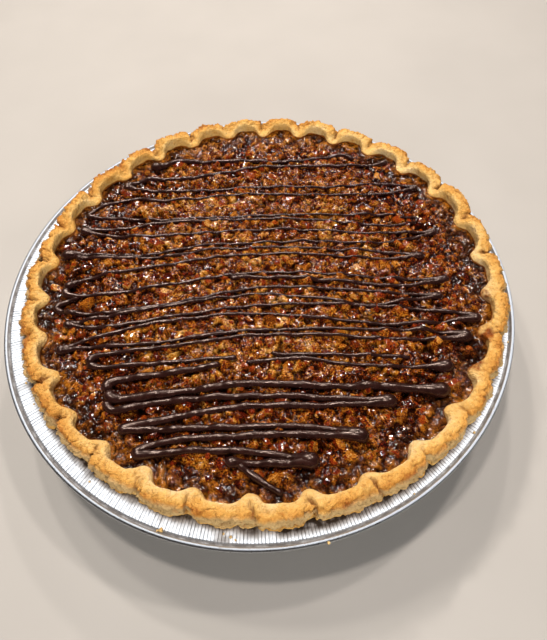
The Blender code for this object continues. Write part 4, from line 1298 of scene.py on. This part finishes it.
# %% The drizzle's route
# Each pass from its left end to its right, in millimetres from the pie's centre
DRIZZLE_PASSES = (
    ((-60, 80), (-44, 83), (-10, 82), (20, 79), (46, 82), (55, 79)),
    ((-74, 66), (-60, 71), (-35, 71), (0, 75), (40, 74), (73, 73)),
    ((-74, 66), (-50, 61), (-5, 60), (35, 57), (68, 58), (86, 53)),
    ((-92, 46), (-84, 53), (-66, 57), (-52, 54), (-10, 55), (30, 52), (65, 51), (86, 53)),
    ((-92, 46), (-78, 43), (-50, 40), (-5, 39), (35, 37), (71, 35)),
    ((-94, 36), (-72, 36), (-50, 38), (-5, 37), (34, 33), (62, 28), (78, 28), (81, 32), (72, 32)),
    ((-94, 36), (-75, 31), (-50, 28), (-20, 30), (20, 28), (60, 23), (90, 22)),
    ((-99, 17), (-94, 20), (-60, 17), (-25, 21), (15, 20), (65, 17), (90, 22)),
    ((-93, 18), (-75, 16), (-50, 15), (-20, 18), (20, 15.5), (60, 11), (80, 6.5)),
    ((-96, -1), (-83, 5), (-50, 9), (-14, 14), (25, 11), (60, 7), (80, 6.5)),
    ((-96, -1), (-90, -6), (-55, -3.5), (-10, 2), (30, -1.5), (60, -5.5), (89, -8)),
    ((-16, 0), (0, -1), (35, -6), (65, -10), (89, -8)),
    ((-88, -6), (-98, -12), (-88, -16), (-66, -16), (-30, -11), (-5, -7), (30, -10), (84, -17)),
    ((-92, -22), (-76, -19), (-45, -14), (-10, -10.5), (20, -14), (48, -20), (84, -17)),
    ((-92, -22), (-73, -24), (-40, -20), (-5, -17), (40, -19.5), (82, -25.5), (98, -31)),
    ((-94, -36), (-76, -29), (-45, -23), (-10, -21), (25, -26), (60, -31), (98, -31)),
    ((-94, -36), (-80, -34), (-50, -34), (-12, -30.5), (35, -32.5), (73, -35.5), (92, -40)),
    ((-79, -43), (-72, -38.5), (-40, -36), (-8, -33), (30, -35.5), (60, -39), (92, -40)),
    ((-79, -43), (-70, -45), (-40, -44), (-13, -44)),
    ((2, -43), (30, -45), (63, -48)),
    ((-9, -46.5), (15, -46), (42, -51), (80, -54)),
    ((-69, -57), (-66, -52), (-40, -49.5), (-20, -47)),
    ((-69, -57), (-62, -60.5), (-30, -58.5), (-5, -57), (30, -60), (76, -65)),
    ((-69, -62), (-64, -65.5), (-45, -63), (-5, -62.5), (25, -65), (53, -69)),
    ((-62, -74), (-45, -71), (-15, -67), (20, -68), (53, -69)),
    ((-62, -74), (-35, -75), (0, -76), (22, -78), (39, -83)),
    ((-55, -85), (-42, -80), (-5, -79.5), (18, -80.5), (39, -83)),
    ((-55, -85), (-25, -84.5), (-5, -86.5), (19, -92)),
    ((-18, -90), (-5, -91), (19, -92)),
    ((-13, -91), (-4, -98), (4, -103)),
)
THIN, USUAL = 0.68, 0.88
THICK_PASSES = {0: 1.1, 1: 0.9, 11: 0.95, 21: 1.35, 22: 1.7, 23: 1.4, 24: 1.45, 25: 1.45, 26: 1.5}
THICK_PASSES |= {27: 1.5, 28: 1.6, 29: 1.5}
# Where a turn left a fat blob: its place, its radius, and how far along the strand it tapers
BLOBS = ((-60, 80, 2.7, 12), (73, 73, 1.8, 9), (86, 53, 1.6, 9), (80, 6.5, 2.0, 12), (89, -8, 1.9, 12))
BLOBS += ((98, -31, 2.0, 12), (92, -40, 2.8, 13), (80, -54, 3.0, 15), (76, -65, 3.5, 16), (53, -69, 2.8, 14))
BLOBS += ((39, -83, 2.8, 14), (19, -92, 3.2, 16), (-94, 36, 1.9, 11), (-92, 46, 1.4, 8), (-96, -1, 2.2, 12))
BLOBS += ((-94, -36, 2.2, 11), (-92, -22, 2.0, 10), (-79, -43, 2.0, 10), (-69, -57, 2.7, 12))
BLOBS += ((-69, -62, 1.9, 9), (-62, -74, 2.3, 12), (-55, -85, 2.4, 12), (-99, 17, 2.7, 14))
BLOBS += ((-98, -12, 1.7, 9), (84, -17, 1.6, 10), (90, 22, 1.8, 9), (-18, -90, 2.4, 9), (-74, 66, 2.3, 10))
BLOBS += ((-13, -44, 1.3, 6), (-16, 0, 1.2, 5))
DRIZZLE_STEP = 0.75


def smooth_line(points, step):
    """Points at even steps along a smooth curve through the given ones."""
    guide = np.array(points, float)
    guide = np.vstack([2 * guide[0] - guide[1], guide, 2 * guide[-1] - guide[-2]])
    t = np.linspace(0, 1, 24, endpoint=False)[:, None]
    parts = [smooth_between(*four, t) for four in zip(guide, guide[1:], guide[2:], guide[3:])]
    fine_line = np.vstack([*parts, guide[-2:-1]])
    gone = np.concatenate([[0], np.cumsum(np.linalg.norm(np.diff(fine_line, axis=0), axis=1))])
    even_steps = np.linspace(0, gone[-1], max(2, round(gone[-1] / step)))
    return np.stack([np.interp(even_steps, gone, fine_line[:, k]) for k in (0, 1)], -1), even_steps


def drizzle_lines():
    """All passes as one mesh of edges, with the strand's radius at each vertex."""
    points, edges, thickness, start = [], [], [], 0
    for number, route in enumerate(DRIZZLE_PASSES):
        line, gone = smooth_line(route, DRIZZLE_STEP)
        line = shifted(line, 0.35, 7.0, 101)
        far = ramp_up(line[:, 1], -45.0, 5.0)
        radius = THICK_PASSES.get(number, USUAL * (1 - far) + THIN * far)
        left, right = ramp_up(-line[:, 0], 15.0, 65.0), ramp_up(line[:, 0], 50.0, 85.0)
        radius = radius * (1 + 0.4 * left * (0.4 + 0.6 * far) + 0.2 * right)
        radius = radius * (1 + mixed_noise(line, (0.18, 5.0, 103), (0.08, 2.4, 104)))
        for blob_x, blob_y, size, taper in BLOBS:
            away = np.hypot(line[:, 0] - blob_x, line[:, 1] - blob_y)
            swollen = radius + (size - radius) * (1 - ramp_up(away, 0.8 * size, taper)) ** 1.5
            radius = np.maximum(radius, swollen)
        for left in (gone, gone[-1] - gone):
            tip = np.clip(left / radius, 0.02, 1)
            radius = radius * np.sqrt(np.maximum(0.02, 1 - (1 - tip) ** 2))
        points.append(line)
        thickness.append(radius)
        edges += [(start + k, start + k + 1) for k in range(len(line) - 1)]
        start += len(line)
    return np.vstack(points), edges, np.concatenate(thickness)


line_points, line_edges, line_thickness = drizzle_lines()
angle_there = np.arctan2(line_points[:, 1], line_points[:, 0])
furthest = wall_radius - 0.3 - wall_pull * flutes_at(angle_there)[0] - line_thickness - 0.3
line_points *= np.minimum(1, furthest / np.hypot(*line_points.T))[:, None]
guide_points = np.column_stack([line_points + PIE_CENTRE, np.full(len(line_points), ABOVE_ALL)])
guide_values = {"thickness": line_thickness * MM}
drizzle_guide = new_object("drizzle_guide", guide_points, [], guide_values, line_edges)
print("drizzle:", len(DRIZZLE_PASSES), "passes,", len(line_points), "points")

# %% [markdown]
# ## What set chocolate looks like
#
# Dark chocolate sets to a very dark brown with a satin shine: the highlights are wide and soft,
# and look greyish mauve because they mirror the pale room without colour. Very fine unevenness
# in the set surface keeps them from looking like plastic.

# %% Set dark chocolate
def chocolate_finish():
    tint = linear("#efdcd4")
    numbers = {"IOR": 1.5, "Specular_IOR_Level": 0.6, "Specular_Tint": tint}
    material, add, shader = new_material("dark_chocolate_melted_and_set", **numbers)
    place = add("TexCoord").outputs["Object"]
    bloom = add("TexNoise", {"Vector": place, "Scale": 1 / (2.5 * MM), "Detail": 3.0})
    ripple = add("TexNoise", {"Vector": place, "Scale": 1 / (2.5 * MM), "Detail": 1.0})
    cocoa = add("ValToRGB", (bloom,), stops=((0.3, "#1c0c0a"), (0.7, "#2d1613")))
    rough = add("MapRange", (ripple, 0.3, 0.7, 0.2, 0.3))
    bump = add("Bump", {"Strength": 0.05, "Distance": 0.3 * MM, "Height": ripple})
    set_inputs(shader, {"Base Color": cocoa, "Roughness": rough, "Normal": bump})
    return material


chocolate = chocolate_finish()
print("made", chocolate.name)

# %% The draping tree
drape = {"Custard": custard_body, "Nuts": large_nuts, "Small nuts": medium_nuts, "Smoothing": 14}
drape |= {"Rise": 0.6, "Flatness": 0.85, "Sides": 10}


def drizzle_tree(material):
    tree, add, given = new_tree("chocolate_drizzle", drape)
    under = add("GeometryNodeJoinGeometry")
    for label in ("Custard", "Nuts", "Small nuts"):
        thing = add("GeometryNodeObjectInfo", {"Object": given[label]})
        set_inputs(under, (thing.outputs["Geometry"],))
    inputs = {"Target Geometry": under, "Ray Direction": (0.0, 0.0, -1.0), "Ray Length": 0.1}
    hit = add("GeometryNodeRaycast", inputs)
    hit_height = add("SeparateXYZ", (hit.outputs["Hit Position"],)).outputs[2]
    inputs = {0: given["Geometry"], "Name": "drop", "Value": hit_height}
    dropped = add("GeometryNodeStoreNamedAttribute", inputs)
    stored, thickness = (add("GeometryNodeInputNamedAttribute", (name,)) for name in ("drop", "thickness"))
    smooth = add("GeometryNodeBlurAttribute", {0: stored, "Iterations": given["Smoothing"]})
    place = add("GeometryNodeInputPosition")
    flat = add("SeparateXYZ", (place,)).outputs
    raised = add("Math", (thickness, given["Rise"], smooth), operation="MULTIPLY_ADD")
    target = add("CombineXYZ", (flat[0], flat[1], raised))
    draped = add("GeometryNodeSetPosition", {0: dropped, "Position": target})
    curve = add("GeometryNodeMeshToCurve", (draped,))
    upright = add("GeometryNodeSetCurveNormal", (curve,), mode="Z_UP")
    circle = add("GeometryNodeCurvePrimitiveCircle", {"Resolution": given["Sides"], "Radius": 1.0})
    squash = add("CombineXYZ", (1.0, given["Flatness"], 1.0))
    profile = add("GeometryNodeTransform", {0: circle, "Scale": squash})
    inputs = {"Curve": upright, "Profile Curve": profile, "Scale": thickness, "Fill Caps": True}
    strand = add("GeometryNodeCurveToMesh", inputs)
    return end_tree(tree, add("GeometryNodeSetShadeSmooth", (strand,)), material)


drizzle = run_tree(drizzle_guide, drizzle_tree(chocolate), drape, "chocolate_drizzle_strands")
bpy.data.objects.remove(drizzle_guide, do_unlink=True)

# %% [markdown]
# ## Crumbs on the foil
#
# A few crumbs broke off the crust and lie on the flange, in the groove and on the bead. Each one is
# a small ball made lumpy, dropped onto the foil below it by a ray, so that none hangs in the air.

# %% Pastry crumbs
# Each crumb's angle and radius from the pie's centre, and its size in millimetres
CRUMBS = ((-110.8, 120.3, 1.7), (-111.5, 120.9, 1.0), (-80.6, 121.8, 1.2), (-98.0, 117.4, 1.2))
CRUMBS += ((-97.1, 118.3, 0.8), (-99.4, 116.6, 0.9), (-44.3, 117.0, 1.0), (-62.4, 117.9, 0.7))
CRUMBS += ((-128.1, 117.8, 0.8), (-150.3, 117.2, 0.7), (-20.5, 116.9, 0.8), (12.0, 117.1, 0.6))
CRUMBS += ((61.0, 117.4, 0.8), (139.0, 119.0, 0.7), (204.0, 117.4, 0.9))


def crumb_points(number, size):
    """The vertices and faces of one lumpy crumb at the origin, in metres."""
    bm = bmesh.new()
    bmesh.ops.create_icosphere(bm, subdivisions=2, radius=size * MM / 2)
    for vert in bm.verts:
        vert.co *= 1 + 0.5 * noise.noise(vert.co / (0.5 * MM) + Vector((number * 3.7, 0, 0)))
    points = [vert.co.copy() for vert in bm.verts]
    faces = [[vert.index for vert in face.verts] for face in bm.faces]
    bm.free()
    return points, faces


foil_tree = BVHTree.FromObject(tin, bpy.context.evaluated_depsgraph_get())
all_points, all_faces = [], []
for number, (degrees, radius, size) in enumerate(CRUMBS):
    place = on_circle(radius, math.radians(degrees), ABOVE_ALL, PIE_CENTRE)
    landed = foil_tree.ray_cast(Vector(place * MM), Vector((0, 0, -1)))[0]
    landed.z += 0.35 * size * MM
    points, faces = crumb_points(number, size)
    all_faces += [[len(all_points) + k for k in face] for face in faces]
    all_points += [point + landed for point in points]
all_points = np.array(all_points) / MM
pastry_crumbs = new_object("pastry_crumbs", all_points, all_faces, {"bake": [0.15] * len(all_points)})
pastry_crumbs.data.materials.append(pastry)
print("crumbs:", len(CRUMBS), "with", len(all_faces), "triangles")

# %% [markdown]
# ## Giving each piece to the model
#
# Everything moves with the one body. The tin stands for its solid, and the case with its crumbs for
# the pastry's. The custard, the nuts and the drizzle together stand for the solid of the filling.

# %% Bodies and replaced solids, with a slot name for each piece that nothing reads
for piece, node, slot in (
    (tin, "foil_tin", "foil"),
    (pastry_case, "pastry_case", "pastry"),
    (pastry_crumbs, "pastry_case", "pastry"),
    (custard_body, "pecan_filling", "filling"),
    (large_nuts, "pecan_filling", "pecan"),
    (medium_nuts, "pecan_filling", "pecan"),
    (fine_nuts, "pecan_filling", "pecan"),
    (drizzle, "pecan_filling", "chocolate"),
):
    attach(piece, "root")
    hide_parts(node)
    print(piece.name, "stands for", node)

# %% [markdown]
# ## Floor and light
#
# The pie stands on a plain pale floor. One light comes from behind and the left. Four small lamps
# hang over the pie, as in a kitchen's ceiling. Each is mirrored as a small bright speck, so the wet
# glaze sparkles, where one large light would be mirrored everywhere and veil it. Two large fills
# lighten the shadows and are kept out of reflections for the same reason. Foil is the other
# way about: small lamps burn out on it, and a mirror looks black without something pale to mirror.
# So the lamps leave the tin out, and it has a large white card of its own, which lights nothing
# else.

# %% Studio
def pale_floor():
    material, add, shader = new_material("plain_pale_floor", Roughness=0.6)
    place = add("TexCoord").outputs["Object"]
    cloud = add("TexNoise", {"Vector": place, "Scale": 1 / (60.0 * MM), "Detail": 2.0})
    tint = add("ValToRGB", (cloud,), stops=((0.0, "#a9a8a6"), (1.0, "#b3b2b0")))
    set_inputs(shader, {"Base Color": tint})
    mesh = bpy.data.meshes.new("floor")
    mesh.from_pydata([(-3, -3, 0), (3, -3, 0), (3, 3, 0), (-3, 3, 0)], [], [(0, 1, 2, 3)])
    mesh.materials.append(material)
    put_in_scene("floor", mesh)


def area_light(name, place, size, power, colour):
    """A rectangular light that faces the pie."""
    light = bpy.data.lights.new(name, "AREA")
    light.shape = "RECTANGLE"
    light.size, light.size_y = size
    light.energy = power
    light.color = linear(colour)[:3]
    lamp = put_in_scene(name, light)
    lamp.location = place
    lamp.rotation_euler = (Vector((0, 0, 0.03)) - Vector(place)).to_track_quat("-Z", "Y").to_euler()
    return lamp


def linked_to_tin(name):
    """A collection with only the tin in it, for light linking."""
    collection = bpy.data.collections.new(name)
    collection.objects.link(tin)
    return collection


pale_floor()
area_light("key", (-0.42, 0.60, 0.95), (0.1, 0.1), 4.4, "#fff4e6")
# Each ceiling lamp's place along X and Y in metres, and its power in watts
CEILING_LAMPS = ((-0.15, 0.15, 5.2), (0.4, 0.5, 5.2), (-0.3, 0.95, 7.0), (0.2, 1.35, 8.0))
FILLS = (("front_fill", (0.1, -1.0, 0.36), (0.6, 0.4), 8.8, "#fffaf4"),)
FILLS += (("overhead_fill", (0.0, 0.1, 1.2), (1.0, 1.0), 0.8, "#ffffff"),)
for number, (lamp_x, lamp_y, power) in enumerate(CEILING_LAMPS):
    area_light(f"ceiling_lamp_{number}", (lamp_x, lamp_y, 1.1), (0.08, 0.08), power, "#fff2e6")
for name, place, size, power, colour in FILLS:
    area_light(name, place, size, power, colour).visible_glossy = False
all_but_foil = linked_to_tin("all_but_foil")
all_but_foil.collection_objects[0].light_linking.link_state = "EXCLUDE"
for lamp in [o for o in bpy.data.objects if o.type == "LIGHT"]:
    lamp.light_linking.receiver_collection = all_but_foil
card = area_light("foil_card", (0.3, 0.6, 1.05), (3.6, 3.0), 64.0, "#fbfcff")
card.light_linking.receiver_collection = linked_to_tin("foil_only")
world = bpy.data.worlds.new("pale_room")
world.use_nodes = True
set_inputs(world.node_tree.nodes["Background"], {"Color": linear("#f4dac2"), "Strength": 0.05})
bpy.context.scene.world = world
bpy.context.scene.view_settings.view_transform = "Standard"
